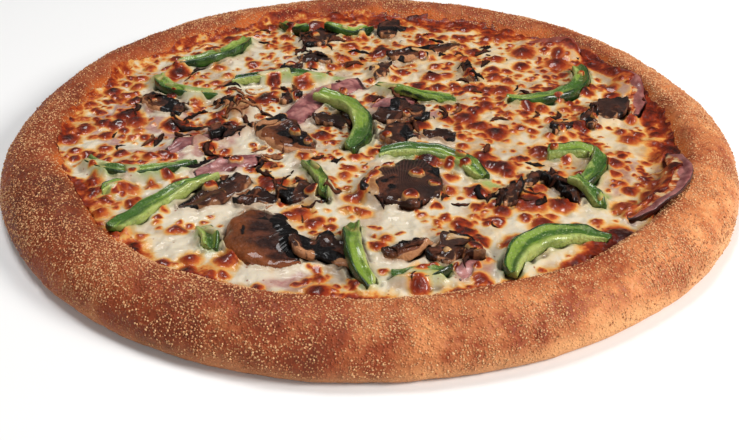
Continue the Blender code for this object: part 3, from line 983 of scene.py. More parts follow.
class Topping:
    """What every topping does: it knows how its solid lies, and makes its piece from its form."""

    LOOK = ""
    SLOT = ""
    FIRST_SEED = 0

    name: str
    exposure: float

    def form(self, noise: Ripple) -> Form:
        """Works out the topping's shape.

        Args:
            noise: the topping's own noise.

        Returns:
            Its points, its faces and its masks.
        """
        raise NotImplementedError

    def build(self, material: bpy.types.Material) -> bpy.types.Object:
        """Makes the topping's piece.

        Args:
            material: its finish.

        Returns:
            The piece.
        """
        points, faces, masks = self.form(Ripple(int(self.name[-2:]) + self.FIRST_SEED))
        return make_piece(f"{self.LOOK}_{self.name}", points, faces, masks, material, [self.name])

    def bareness(self, x: float, y: float) -> float:
        """How bare the cheese leaves it at a place, 0 to 1."""
        return self.exposure

    def rests(self, x: Array, y: Array) -> Array:
        """How high its solid's underside lies.

        Args:
            x, y: points of the plan.

        Returns:
            The height at each point, nan outside the solid's outline.
        """
        tree, _ = solid_tree([self.name])
        heights = np.full(len(x), np.nan)
        for k, (px, py) in enumerate(zip(x, y)):
            hit = tree.ray_cast(Vector((px, py, BELOW_ALL)), Vector((0, 0, 1)))[0]
            if hit is not None:
                heights[k] = hit.z
        return heights


@dataclass
class Strip(Topping):
    """A topping swept along an arc that bows to the left of the way from start to end."""

    CUT = Cut.PEPPER
    FILLED = 0.985
    WOBBLE = 0.05
    WOBBLE_STEP = 2.4
    LOWEST_END = 0.6
    SLANT = 0.0018
    CAP_SCALE = 0.72
    CAP_REACH = 0.05
    TIP_REACH = 0.07

    name: str
    start: Pair
    end: Pair
    bow: float
    width: float
    height: float
    ends: Pair
    exposure: float
    stations: int
    power: float = 2.6
    fine: int = 64

    @property
    def length(self) -> float:
        """How far its end is from its start."""
        return math.dist(self.start, self.end)

    def circle(self) -> tuple[Array, float]:
        """Works out the arc's circle.

        Returns:
            Its middle, and its radius, below 0 where the arc bows to the right.
        """
        start, end = np.array(self.start), np.array(self.end)
        half = self.length / 2
        left = np.array([start[1] - end[1], end[0] - start[0]]) / (2 * half)
        radius = (half * half + self.bow * self.bow) / (2 * self.bow)
        return (start + end) / 2 + left * (self.bow - radius), radius

    def arc(self, along: Array) -> tuple[Array, Array, Array]:
        """Places on the arc.

        Args:
            along: where, -1 at the start and 1 at the end.

        Returns:
            The points, the way off the arc's outer side there, and the way ahead.
        """
        middle, radius = self.circle()
        half = self.length / 2
        ahead = (np.array(self.end) - np.array(self.start)) / (2 * half)
        left = np.array([-ahead[1], ahead[0]])
        turn = (along * 2 * math.atan(self.bow / half))[:, None]
        out = ahead * np.sin(turn) + left * np.cos(turn)
        onward = ahead * np.cos(turn) - left * np.sin(turn)
        return middle + out * radius, out * math.copysign(1, self.bow), onward

    def share(self, along: Array) -> Array:
        """The width as a share of the full width, uneven as the solid's is.

        Args:
            along: where, -1 to 1.

        Returns:
            The share there.
        """
        narrow = np.where(along < 0, self.ends[0], self.ends[1])
        shape = 1 - (1 - narrow) * np.abs(along) ** self.power
        step = (along + 1) / 2 * (self.stations - 1)
        return shape * (1 + self.WOBBLE * np.sin(self.WOBBLE_STEP * step + self.bow * 1000))

    def seat(self, along: Array) -> tuple[Array, Array]:
        """What the strip lies on.

        Args:
            along: where, -1 to 1.

        Returns:
            The height under the hollow side and the height under the outer side.
        """
        point, out, _ = self.arc(along)
        reach = (self.width / 2 * self.share(along))[:, None]
        sides = []
        for side in (-0.5, 0.5):
            spot = point + out * reach * side
            sides.append(fill_gaps(self.rests(spot[:, 0], spot[:, 1])))
        low, high = sides
        return low - (high - low) / 2, high + (high - low) / 2

    def ripple(self, noise: Ripple, along: Array, across: Array, up: Array) -> Array:
        """How uneven the strip is.

        Args:
            noise: the strip's own noise.
            along, across, up: the place of every point, along the arc and on the cut face.

        Returns:
            How far to change across and up there, in metres.
        """
        raise NotImplementedError

    def masks(self, noise: Ripple, along: Array, across: Array) -> dict[str, Array]:
        """What the strip's finish has to know.

        Args:
            noise: the strip's own noise.
            along, across: the place of every point.

        Returns:
            The masks, by name.
        """
        raise NotImplementedError

    def form(self, noise: Ripple) -> Form:
        """Sweeps the strip's cut face along its arc.

        Args:
            noise: the strip's own noise.

        Returns:
            Its points, its faces and its masks.
        """
        outline = rounded(self.CUT.value)
        points, faces = self.sweep(outline, noise)
        across = np.broadcast_to(outline[:, 0], (self.fine, len(outline)))
        along = np.broadcast_to(np.linspace(-1, 1, self.fine)[:, None], across.shape)
        masks = self.masks(noise, along, across)
        return points, faces, {key: self.spread(values) for key, values in masks.items()}

    def sweep(self, outline: Array, noise: Ripple) -> tuple[Array, list[Array]]:
        """Sweeps a cut face along the arc and closes its ends.

        Args:
            outline: the cut face's points, across and up, anticlockwise.
            noise: the strip's own noise.

        Returns:
            The points, ring by ring with one middle at each end, and the faces.
        """
        along = np.linspace(-1, 1, self.fine) * self.FILLED
        point, out, onward = self.arc(along)
        share = self.share(along)
        below, above = self.seat(along)
        grid_along = np.broadcast_to(along[:, None], (self.fine, len(outline)))
        across = np.broadcast_to(outline[:, 0], grid_along.shape)
        up = np.broadcast_to(outline[:, 1], grid_along.shape)
        shift = self.ripple(noise, grid_along, across, up)
        slant = (self.SLANT * (across - 0.2) * np.abs(grid_along) ** 6)[..., None]
        reach = (self.width / 2 * share)[:, None] * across + shift[..., 0]
        plan = point[:, None] + out[:, None] * reach[..., None] + onward[:, None] * slant
        base = below[:, None] + (above - below)[:, None] * (across + 1) / 2
        height = base + up * self.height * np.maximum(share, self.LOWEST_END)[:, None] + shift[..., 1]
        points = np.concatenate([plan, height[..., None]], axis=2)
        caps = []
        for ring, way in ((points[0], -onward[0]), (points[-1], onward[-1])):
            middle = ring.mean(axis=0)
            inset = middle + (ring - middle) * self.CAP_SCALE
            inset[:, :2] += way * self.width * self.CAP_REACH
            caps.append((inset, middle + np.array([*way, 0]) * self.width * self.TIP_REACH))
        (first, first_middle), (last, last_middle) = caps
        rings = np.concatenate([first[None], points, last[None]])
        count, around = rings.shape[:2]
        flat = np.vstack([rings.reshape(-1, 3), first_middle, last_middle])
        quads = tube_faces(count, around)
        if self.bow > 0:
            quads = quads[:, ::-1]
        tips = [
            fan_faces(0, around, count * around, self.bow < 0),
            fan_faces((count - 1) * around, around, count * around + 1, self.bow > 0),
        ]
        return flat, [quads, *tips]

    def spread(self, values: Array) -> Array:
        """Values of the rings, one row a ring, as values of every point of sweep's."""
        rings = np.concatenate([values[:1], values, values[-1:]])
        return np.append(rings.reshape(-1), [values[0].mean(), values[-1].mean()])


@dataclass
class PepperStrip(Strip):
    """A strip of green pepper, with skin from peel on across it."""

    LOOK = "green"
    SLOT = "pepper"
    FIRST_SEED = 100
    CUT = Cut.PEPPER

    peel: float = 0.60

    def ripple(self, noise: Ripple, along: Array, across: Array, up: Array) -> Array:
        """Small dents: the flesh's are deeper than the skin's.

        Args:
            noise: the strip's own noise.
            along, across, up: the place of every point.

        Returns:
            How far to change across and up there, in metres.
        """
        soft = 1 - 0.7 * smooth_step((across - 0.7) / 0.2)
        dent = noise.layered(along * self.length / 2, across * self.width / 2, up * 0.004, 0.0042, 2)
        top = smooth_step((up - 0.3) / 0.4)
        return np.stack([0.00022 * dent * soft, 0.00030 * dent * soft * top], axis=-1)

    def masks(self, noise: Ripple, along: Array, across: Array) -> dict[str, Array]:
        """Where there is skin, where there is pith at the hollow side, and how the flesh is streaked.

        Args:
            noise: the strip's own noise.
            along, across: the place of every point.

        Returns:
            The masks, by name.
        """
        wander = noise.layered(along * self.length / 2 + across * 0.001, across * 0.002, 0.1, 0.005, 2)
        streaks = noise.layered(along * self.length / 14, across * self.width / 2, 2.0, 0.0026, 3)
        return {
            "skin": smooth_step((across - self.peel + 0.08 * wander) / 0.16),
            "pith": smooth_step((-0.35 - across + 0.25 * wander) / 0.5),
            "streak": 0.5 + 0.9 * streaks,
        }


@dataclass
class HamFlap(Strip):
    """A flap of ham, thin and wavy, darkest at the edge that is on its outer side."""

    LOOK = "cooked"
    SLOT = "ham"
    FIRST_SEED = 200
    CUT = Cut.HAM
    THICKNESS = 0.0022

    baked: float = 0.0

    def bareness(self, x: float, y: float) -> float:
        """How bare the cheese leaves it: a slice whose edge alone shows is covered on its hollow side.

        Args:
            x, y: where.

        Returns:
            The share that is bare, 0 to 1.
        """
        if not self.baked:
            return self.exposure
        middle, radius = self.circle()
        across = (math.dist((x, y), middle) - abs(radius)) / (self.width / 2)
        return self.exposure * float(smooth_step(np.array((across - 0.05) / 0.5)))

    def ripple(self, noise: Ripple, along: Array, across: Array, up: Array) -> Array:
        """An uneven edge and a gently rumpled top.

        Args:
            noise: the flap's own noise.
            along, across, up: the place of every point.

        Returns:
            How far to change across and up there, in metres.
        """
        y = across * self.width / 2
        wave = noise.layered(along * self.length / 2, y, 0.3, 0.006, 3)
        pleat = np.abs(noise.layered(along * self.length / 5, y, 0.8, 0.0034, 2))
        edge = smooth_step((np.abs(across) - 0.6) / 0.4)
        top = smooth_step((up - 0.2) / 0.4)
        return np.stack([0.0007 * wave * edge, (0.0004 * wave + 0.0009 * (pleat - 0.55)) * top], axis=-1)

    def masks(self, noise: Ripple, along: Array, across: Array) -> dict[str, Array]:
        """Where the dark rim is, how baked the flap is, and where cheese lies over it.

        Args:
            noise: the flap's own noise.
            along, across: the place of every point.

        Returns:
            The masks, by name.
        """
        rim = smooth_step((across - 0.88) / 0.14)
        rim = np.maximum(rim, smooth_step((np.abs(along) - 0.9) / 0.1) * 0.8)
        drift = noise.layered(along * self.length / 2, across * self.width / 2, 1.9, 0.008, 2)
        veil = smooth_step((0.25 - across + 0.5 * drift) / 0.45) * (1.0 if self.baked else 0.0)
        return {"rim": rim, "baked": np.full_like(rim, self.baked), "veil": veil}


@dataclass
class MushroomCurl(Strip):
    """A slice of cap that shrank to a curl: skin on its outer side, gills with a burnt, torn edge inside."""

    LOOK = "curled"
    SLOT = "mushroom"
    FIRST_SEED = 300
    CUT = Cut.CURL
    POWER = 1.7
    WIDEST_FAN = 3.0

    head: float = 0.0
    gilled: float = 1.0
    rind: float = 1.0
    glow: float = 0.35

    def ripple(self, noise: Ripple, along: Array, across: Array, up: Array) -> Array:
        """A torn edge on the hollow side, and wrinkles and a few folds all over.

        Args:
            noise: the curl's own noise.
            along, across, up: the place of every point.

        Returns:
            How far to change across and up there, in metres.
        """
        x, y = along * self.length / 2, across * self.width / 2
        wrinkle = noise.layered(x, y, 0.3, 0.0045, 3)
        fold = 0.35 - np.abs(noise.layered(x, y * 0.5, 0.7, 0.0075, 2))
        torn = 0.5 - 1.6 * np.abs(noise.layered(x, 0.0, 0.5, 0.0030, 3))
        hollow = smooth_step((-0.05 - across) / 0.5)
        top = smooth_step((up - 0.3) / 0.4)
        sideways = 0.0017 * torn * smooth_step((-0.45 - across) / 0.4) + 0.0004 * wrinkle
        upward = (0.00028 * wrinkle + 0.0007 * fold + 0.0006 * torn * hollow) * top
        return np.stack([sideways, upward], axis=-1)

    def masks(self, noise: Ripple, along: Array, across: Array) -> dict[str, Array]:
        """Where there are gills, where the curl is burnt, tan, amber and lit, and how its gills turn.

        Args:
            noise: the curl's own noise.
            along, across: the place of every point.

        Returns:
            The masks, by name.
        """
        drift = noise.layered(along * self.length / 2, across * self.width / 2, 0.9, 0.007, 3)
        turn = along * min(self.WIDEST_FAN, self.length / GILL_SPACING * math.pi / GILLS)
        edge = smooth_step((-0.36 - across + 0.40 * drift) / 0.22) * self.gilled
        rind = smooth_step((across - 0.74 + 0.30 * drift) / 0.16) * self.rind
        return {
            "gill": smooth_step((0.05 - across + 0.45 * drift) / 0.5) * self.gilled,
            "burnt": edge + smooth_step((drift - 0.30) / 0.3) * 0.8,
            "tan": np.maximum(rind, smooth_step((self.head - 1 - along) / 0.25)),
            "amber": smooth_step((across - 0.1 + 0.4 * drift) / 0.8) * self.glow,
            "lit": 0.5 + 0.7 * drift,
            "gill_x": np.cos(turn),
            "gill_y": np.sin(turn),
        }


@dataclass
class MushroomSlice(Topping):
    """A flat slice or a scrap of mushroom, thickest in the middle, with or without a stem."""

    LOOK = "roasted"
    SLOT = "mushroom"
    FIRST_SEED = 400
    UNDER_RING = 4
    EDGE_RINGS = 2
    EDGE_PULL = 0.90
    RING_POWER = 0.8
    TEARS = {Edge.ROUND: 0.07, Edge.TORN: 0.13}
    BULGE = ((0, 0.55, 1.0), (1.02, 1.0, 0.66))
    THINNEST = 0.0012
    AMBER = 0.05

    name: str
    centre: Pair
    heading: float
    length: float
    width: float
    thickness: float
    edge: Edge
    stem: bool
    exposure: float
    pale: float = 0.0
    around: int = 84
    rings: int = 15
    fan: float = 0.55

    def unit_radius(self, angle: Array) -> Array:
        """The slice's edge on a unit circle, as the solid has it.

        Args:
            angle: where.

        Returns:
            The radius there.
        """
        radius = 0.5 * (1 + Dough.wave(angle, *self.edge.value))
        if self.stem:
            off = (np.mod(angle, 2 * math.pi) - 1.5 * math.pi) / math.radians(30)
            radius = radius * (1 - 0.62 * np.exp(-off * off / 3) + 0.75 * np.exp(-off * off * 3))
        return radius

    def form(self, noise: Ripple) -> Form:
        """Works out the slice's shape: rings from its edge in to its middle, and an underside.

        Args:
            noise: the slice's own noise.

        Returns:
            Its points, its faces and its masks.
        """
        angle = np.arange(self.around) * (2 * math.pi / self.around)
        turn = math.radians(self.heading)
        tear = noise.layered(np.cos(angle) * 0.01, np.sin(angle) * 0.01, 0.0, 0.0028, 2)
        radius = self.unit_radius(angle) * (1 + self.TEARS[self.edge] * tear)
        scales = np.linspace(1, 0, self.rings + 1)[:-1] ** self.RING_POWER
        u = scales[:, None] * radius * np.cos(angle) * self.length
        v = scales[:, None] * radius * np.sin(angle) * self.width
        x = self.centre[0] + u * math.cos(turn) - v * math.sin(turn)
        y = self.centre[1] + u * math.sin(turn) + v * math.cos(turn)
        base = self._seat(x, y)
        share = np.interp(scales, *self.BULGE)[:, None]
        wrinkle = noise.layered(x, y, 0.2, 0.0055, 3)
        fold = 0.35 - np.abs(noise.layered(x, y, 0.6, 0.0085, 2))
        lip = smooth_step((scales - 0.8) / 0.2)[:, None] * (0.4 + 0.7 * tear)
        relief = 0.0003 * wrinkle + 0.0008 * fold + 0.0011 * lip
        top = base + np.maximum(self.thickness * share + relief, self.THINNEST)
        lower = [np.stack([x[ring], y[ring], base[ring]], axis=-1) for ring in (self.UNDER_RING, 0)]
        upper = np.stack([x, y, top], axis=-1).reshape(-1, 3)
        middles = [[*self.centre, height] for height in (top[-1].mean(), base[-1].mean())]
        points = np.vstack([*lower, upper, *middles])
        count = self.rings + 2
        ends = [
            fan_faces((count - 1) * self.around, self.around, count * self.around, False),
            fan_faces(0, self.around, count * self.around + 1, True),
        ]
        masks = self._masks(noise, (x, y), scales, tear, fold)
        masks["gill_x"] = u / self.length + self.fan
        masks["gill_y"] = v / self.width
        masks = {key: self._spread(values) for key, values in masks.items()}
        return points, [tube_faces(count, self.around), *ends], masks

    def _seat(self, x: Array, y: Array) -> Array:
        """What the slice lies on, with its two outer rings taken from just inside them.

        Args:
            x, y: the places of the rings.

        Returns:
            The height under each.
        """
        base = np.zeros_like(x)
        middle = np.array(self.centre)
        for ring in range(len(x)):
            pull = self.EDGE_PULL if ring < self.EDGE_RINGS else 1.0
            px, py = (m + (row - m) * pull for m, row in zip(middle, (x[ring], y[ring])))
            heights = self.rests(px, py)
            base[ring] = fill_gaps(heights, True) if (~np.isnan(heights)).any() else base[ring - 1]
        return base

    def _spread(self, values: Array) -> Array:
        """Values of the top's rings as values of every point of the piece."""
        middle = values[-1].mean()
        return np.concatenate([values[self.UNDER_RING], values[0], values.reshape(-1), [middle, middle]])

    def _masks(
        self, noise: Ripple, places: tuple[Array, Array], scales: Array, tear: Array, fold: Array
    ) -> dict[str, Array]:
        """Where the slice is gilled, burnt, tan, amber and lit.

        Args:
            noise: the slice's own noise.
            places: the x and y of its rings.
            scales: the size of each ring as a share of the outermost.
            tear: how torn the edge is at each angle.
            fold: how high each place is folded up.

        Returns:
            The masks, by name.
        """
        x, y = places
        drift = noise.layered(x, y, 1.3, 0.009, 3)
        reach = 0.5 * min(self.length, self.width)
        back, east = (y - self.centre[1]) / reach, (x - self.centre[0]) / reach
        rim = smooth_step((scales[:, None] - 0.84 + 0.12 * tear + 0.10 * drift) / 0.14)
        spots = smooth_step((drift - 0.22) / 0.35)
        return {
            "gill": smooth_step(0.55 - 1.5 * drift) * (1 - 0.5 * rim),
            "burnt": np.maximum(rim * smooth_step(0.50 + 1.4 * drift + 0.6 * back), spots),
            "tan": smooth_step((self.pale - drift - 0.20 + 0.4 * fold - 0.35 * back) / 0.35),
            "amber": np.full_like(x, self.AMBER),
            "lit": 0.5 - 0.45 * east + 0.6 * drift,
        }


def pepper(
    number: int, start: Pair, end: Pair, bow: float, width: float, height: float, stations: int,
    exposure: float, ends: Pair = (0.75, 0.75), peel: float = 0.60,
) -> PepperStrip:
    """A strip of green pepper, numbered as its solid is."""
    name = f"pepper_{number:02d}"
    return PepperStrip(name, start, end, bow, width, height, ends, exposure, stations, peel=peel)


def ham(
    number: int, start: Pair, end: Pair, bow: float, width: float, stations: int, exposure: float,
    ends: Pair = (0.6, 0.6), baked: float = 0.0,
) -> HamFlap:
    """A flap of ham, numbered as its solid is."""
    name, thickness = f"ham_{number:02d}", HamFlap.THICKNESS
    return HamFlap(name, start, end, bow, width, thickness, ends, exposure, stations, baked=baked)


def curl(
    number: int, start: Pair, end: Pair, bow: float, width: float, height: float, ends: Pair,
    stations: int, exposure: float, **more: float,
) -> MushroomCurl:
    """A curl of mushroom, numbered as its solid is, with more of its fields by name."""
    name, power = f"mushroom_{number:02d}", MushroomCurl.POWER
    return MushroomCurl(name, start, end, bow, width, height, ends, exposure, stations, power, **more)


def scrap(
    number: int, centre: Pair, heading: float, length: float, width: float, thickness: float,
    exposure: float, edge: Edge = Edge.TORN, stem: bool = False, pale: float = 0.0,
) -> MushroomSlice:
    """A flat piece of mushroom, numbered as its solid is."""
    name = f"mushroom_{number:02d}"
    return MushroomSlice(name, centre, heading, length, width, thickness, edge, stem, exposure, pale)


TOPPINGS: tuple[Topping, ...] = (
    ham(1, (-0.040, -0.006), (-0.004, 0.045), 0.007, 0.014, 7, 0.85, (0.6, 0.8)),
    ham(2, (0.003, 0.012), (0.024, 0.024), 0.002, 0.013, 7, 0.85),
    ham(3, (-0.094, -0.030), (-0.070, -0.017), 0.002, 0.010, 7, 0.60),
    ham(4, (-0.078, -0.052), (-0.050, -0.037), 0.002, 0.010, 7, 0.74),
    ham(5, (0.117, 0.079), (0.088, 0.096), -0.005, 0.014, 7, 0.76, (0.3, 0.3), 0.9),
    ham(6, (0.131, 0.006), (0.121, 0.070), -0.010, 0.011, 10, 0.80, (0.25, 0.3), 0.35),
    ham(7, (0.108, -0.088), (0.137, -0.034), -0.012, 0.010, 10, 0.80, (0.25, 0.25), 0.12),
    ham(8, (0.034, -0.129), (0.047, -0.122), 0.001, 0.009, 7, 0.38),
    curl(
        1, (-0.043, -0.086), (-0.028, -0.120), -0.009, 0.028, 0.0050, (0.70, 0.12), 11, 1.00,
        rind=0.2, glow=0.8,
    ),
    scrap(2, (-0.018, -0.113), -12, 0.024, 0.017, 0.0045, 0.96, pale=0.45),
    scrap(3, (0.015, -0.062), 84, 0.037, 0.036, 0.0060, 0.82, Edge.ROUND, pale=-0.5),
    curl(
        4, (-0.049, 0.000), (-0.026, -0.027), -0.005, 0.021, 0.0050, (0.7, 0.35), 8, 0.96,
        head=0.70, gilled=0.3, glow=0.7,
    ),
    scrap(5, (0.016, 0.007), 15, 0.024, 0.017, 0.0048, 0.90),
    scrap(6, (0.015, -0.014), 70, 0.022, 0.019, 0.0050, 0.80, Edge.ROUND, True),
    scrap(7, (0.034, -0.015), -20, 0.015, 0.010, 0.0042, 0.80),
    curl(
        8, (-0.056, -0.056), (-0.081, -0.080), 0.003, 0.013, 0.0045, (0.8, 0.3), 8, 0.90,
        rind=0.5, glow=0.1,
    ),
    scrap(9, (-0.048, -0.073), 10, 0.016, 0.010, 0.0042, 0.92),
    scrap(10, (-0.029, -0.070), 0, 0.019, 0.015, 0.0055, 0.80, pale=0.15),
    curl(11, (-0.115, 0.031), (-0.094, 0.012), -0.003, 0.014, 0.0045, (0.5, 0.8), 8, 0.80),
    curl(12, (-0.076, -0.018), (-0.057, -0.008), 0.002, 0.008, 0.0048, (0.7, 0.3), 8, 0.85),
    scrap(13, (-0.030, 0.108), 65, 0.023, 0.019, 0.0042, 0.92),
    scrap(14, (0.013, 0.120), 82, 0.027, 0.016, 0.0048, 0.85, Edge.ROUND, True),
    curl(15, (0.012, 0.079), (0.050, 0.097), -0.003, 0.013, 0.0045, (0.9, 0.4), 8, 0.88),
    scrap(16, (-0.030, 0.076), 0, 0.018, 0.012, 0.0042, 0.65),
    scrap(17, (-0.043, 0.062), 80, 0.014, 0.010, 0.0042, 0.65),
    scrap(18, (-0.041, 0.027), 50, 0.012, 0.008, 0.0042, 0.80),
    scrap(19, (-0.017, 0.001), -20, 0.019, 0.013, 0.0042, 0.70),
    scrap(20, (0.074, -0.056), 38, 0.015, 0.008, 0.0042, 0.85),
    curl(21, (0.079, -0.057), (0.088, -0.076), 0.003, 0.007, 0.0045, (0.8, 0.6), 6, 0.88),
    scrap(22, (0.061, -0.070), 75, 0.017, 0.009, 0.0042, 0.85),
    scrap(23, (0.121, 0.013), 60, 0.022, 0.018, 0.0048, 0.75, Edge.ROUND),
    scrap(24, (0.109, 0.002), 80, 0.014, 0.008, 0.0042, 0.85),
    scrap(25, (0.093, -0.007), 60, 0.012, 0.009, 0.0042, 0.65),
    scrap(26, (0.034, -0.113), 20, 0.019, 0.018, 0.0050, 0.78, pale=0.10),
    curl(27, (0.006, -0.114), (0.023, -0.107), -0.003, 0.009, 0.0045, (0.5, 0.6), 6, 0.92),
    curl(28, (-0.077, 0.025), (-0.064, 0.002), 0.004, 0.011, 0.0045, (0.6, 0.6), 8, 0.75),
    curl(29, (0.053, 0.073), (0.057, 0.046), -0.002, 0.005, 0.0040, (0.6, 0.6), 6, 0.85),
    scrap(30, (0.006, 0.061), 80, 0.019, 0.010, 0.0042, 0.65),
    pepper(1, (-0.071, 0.104), (-0.107, 0.070), 0.009, 0.0095, 0.0058, 9, 0.88, peel=0.55),
    pepper(2, (-0.113, 0.053), (-0.080, 0.032), -0.009, 0.0080, 0.0052, 8, 0.78, peel=0.75),
    pepper(3, (-0.072, 0.047), (-0.023, 0.051), 0.002, 0.0055, 0.0052, 8, 0.72, peel=0.0),
    pepper(4, (-0.052, 0.130), (-0.036, 0.116), -0.003, 0.0080, 0.0052, 6, 0.75),
    pepper(5, (-0.026, 0.024), (-0.010, -0.030), 0.014, 0.0105, 0.0062, 11, 0.97),
    pepper(6, (0.004, 0.041), (0.043, 0.027), -0.005, 0.0085, 0.0052, 8, 0.80, peel=0.90),
    pepper(7, (0.071, 0.024), (0.113, 0.064), -0.017, 0.0095, 0.0060, 12, 0.80, peel=0.60),
    pepper(8, (-0.069, -0.058), (-0.103, -0.102), -0.005, 0.0090, 0.0056, 10, 0.88, peel=0.80),
    pepper(9, (-0.129, -0.040), (-0.081, -0.041), -0.011, 0.0070, 0.0052, 9, 0.55),
    pepper(10, (-0.116, -0.067), (-0.107, -0.062), 0.001, 0.0060, 0.0052, 5, 0.55),
    pepper(11, (-0.068, -0.097), (-0.063, -0.112), 0.001, 0.0075, 0.0052, 5, 0.80),
    pepper(12, (-0.006, -0.094), (0.001, -0.137), -0.004, 0.0080, 0.0060, 9, 0.86, (0.5, 0.7)),
    pepper(13, (0.009, -0.130), (0.029, -0.126), -0.003, 0.0080, 0.0052, 6, 0.60),
    pepper(14, (0.054, -0.131), (0.096, -0.106), 0.013, 0.0110, 0.0068, 11, 0.97, (0.4, 0.4)),
    pepper(15, (0.005, -0.033), (0.050, -0.056), 0.010, 0.0090, 0.0062, 10, 0.82),
    pepper(16, (0.083, -0.034), (0.103, -0.033), 0.001, 0.0090, 0.0060, 5, 0.92, (0.9, 0.9)),
    pepper(17, (0.106, -0.038), (0.094, -0.060), 0.002, 0.0080, 0.0052, 6, 0.94),
    pepper(18, (-0.029, -0.042), (-0.020, -0.076), 0.003, 0.0050, 0.0052, 8, 0.62),
    pepper(19, (-0.026, 0.119), (0.000, 0.121), -0.006, 0.0070, 0.0052, 8, 0.60, peel=0.8),
    pepper(20, (0.089, -0.064), (0.098, -0.079), 0.002, 0.0070, 0.0052, 5, 0.40),
)


@dataclass(frozen=True)
class Plan:
    """A square raster over the pizza, on which the cheese is worked out."""

    half: float = 0.162
    step: float = 0.0005

    def axes(self) -> tuple[Array, Array]:
        """The x and y of every place of the raster."""
        line = np.arange(-self.half, self.half + self.step / 2, self.step)
        return np.meshgrid(line, line, indexing="ij")

    def blur(self, values: Array, width: float) -> Array:
        """Softens values.

        Args:
            values: one for each place of the raster.
            width: over about how far, in metres.

        Returns:
            The softened values.
        """
        waves = [np.fft.fftfreq(values.shape[0]), np.fft.rfftfreq(values.shape[1])]
        spread = width / self.step
        keep = [np.exp(-2 * (math.pi * wave * spread) ** 2) for wave in waves]
        return np.fft.irfft2(np.fft.rfft2(values) * keep[0][:, None] * keep[1][None], values.shape)

    def widen(self, values: Array, reach: float) -> Array:
        """Spreads large values.

        Args:
            values: one for each place of the raster.
            reach: how far they spread, in metres.

        Returns:
            The largest value within reach of each place.
        """
        steps = max(1, round(reach / self.step))
        out = values
        for dx in range(-steps, steps + 1):
            for dy in range(-steps, steps + 1):
                if 0 < dx * dx + dy * dy <= steps * steps:
                    out = np.maximum(out, np.roll(values, (dx, dy), (0, 1)))
        return out

    def sample(self, values: Array, x: Array, y: Array) -> Array:
        """Values between the raster's places.

        Args:
            values: one for each place of the raster.
            x, y: where the values are wanted.

        Returns:
            The values there.
        """
        u = np.clip((x + self.half) / self.step, 0, values.shape[0] - 1.001)
        v = np.clip((y + self.half) / self.step, 0, values.shape[1] - 1.001)
        i, j = u.astype(int), v.astype(int)
        s, t = u - i, v - j
        near = values[i, j] * (1 - t) + values[i, j + 1] * t
        far = values[i + 1, j] * (1 - t) + values[i + 1, j + 1] * t
        return near * (1 - s) + far * s


@dataclass(frozen=True)
class Side:
    """How the blisters differ on one side of the pizza.

    The way to that side is x, y. From start on, over width, they get larger by growth and hotter by heat.
    """

    x: float
    y: float
    start: float
    width: float
    growth: float
    heat: float

    def share(self, x: float, y: float) -> float:
        """How far towards the side a place is, 0 to 1."""
        return float(smooth_step(np.array((self.x * x + self.y * y - self.start) / self.width)))


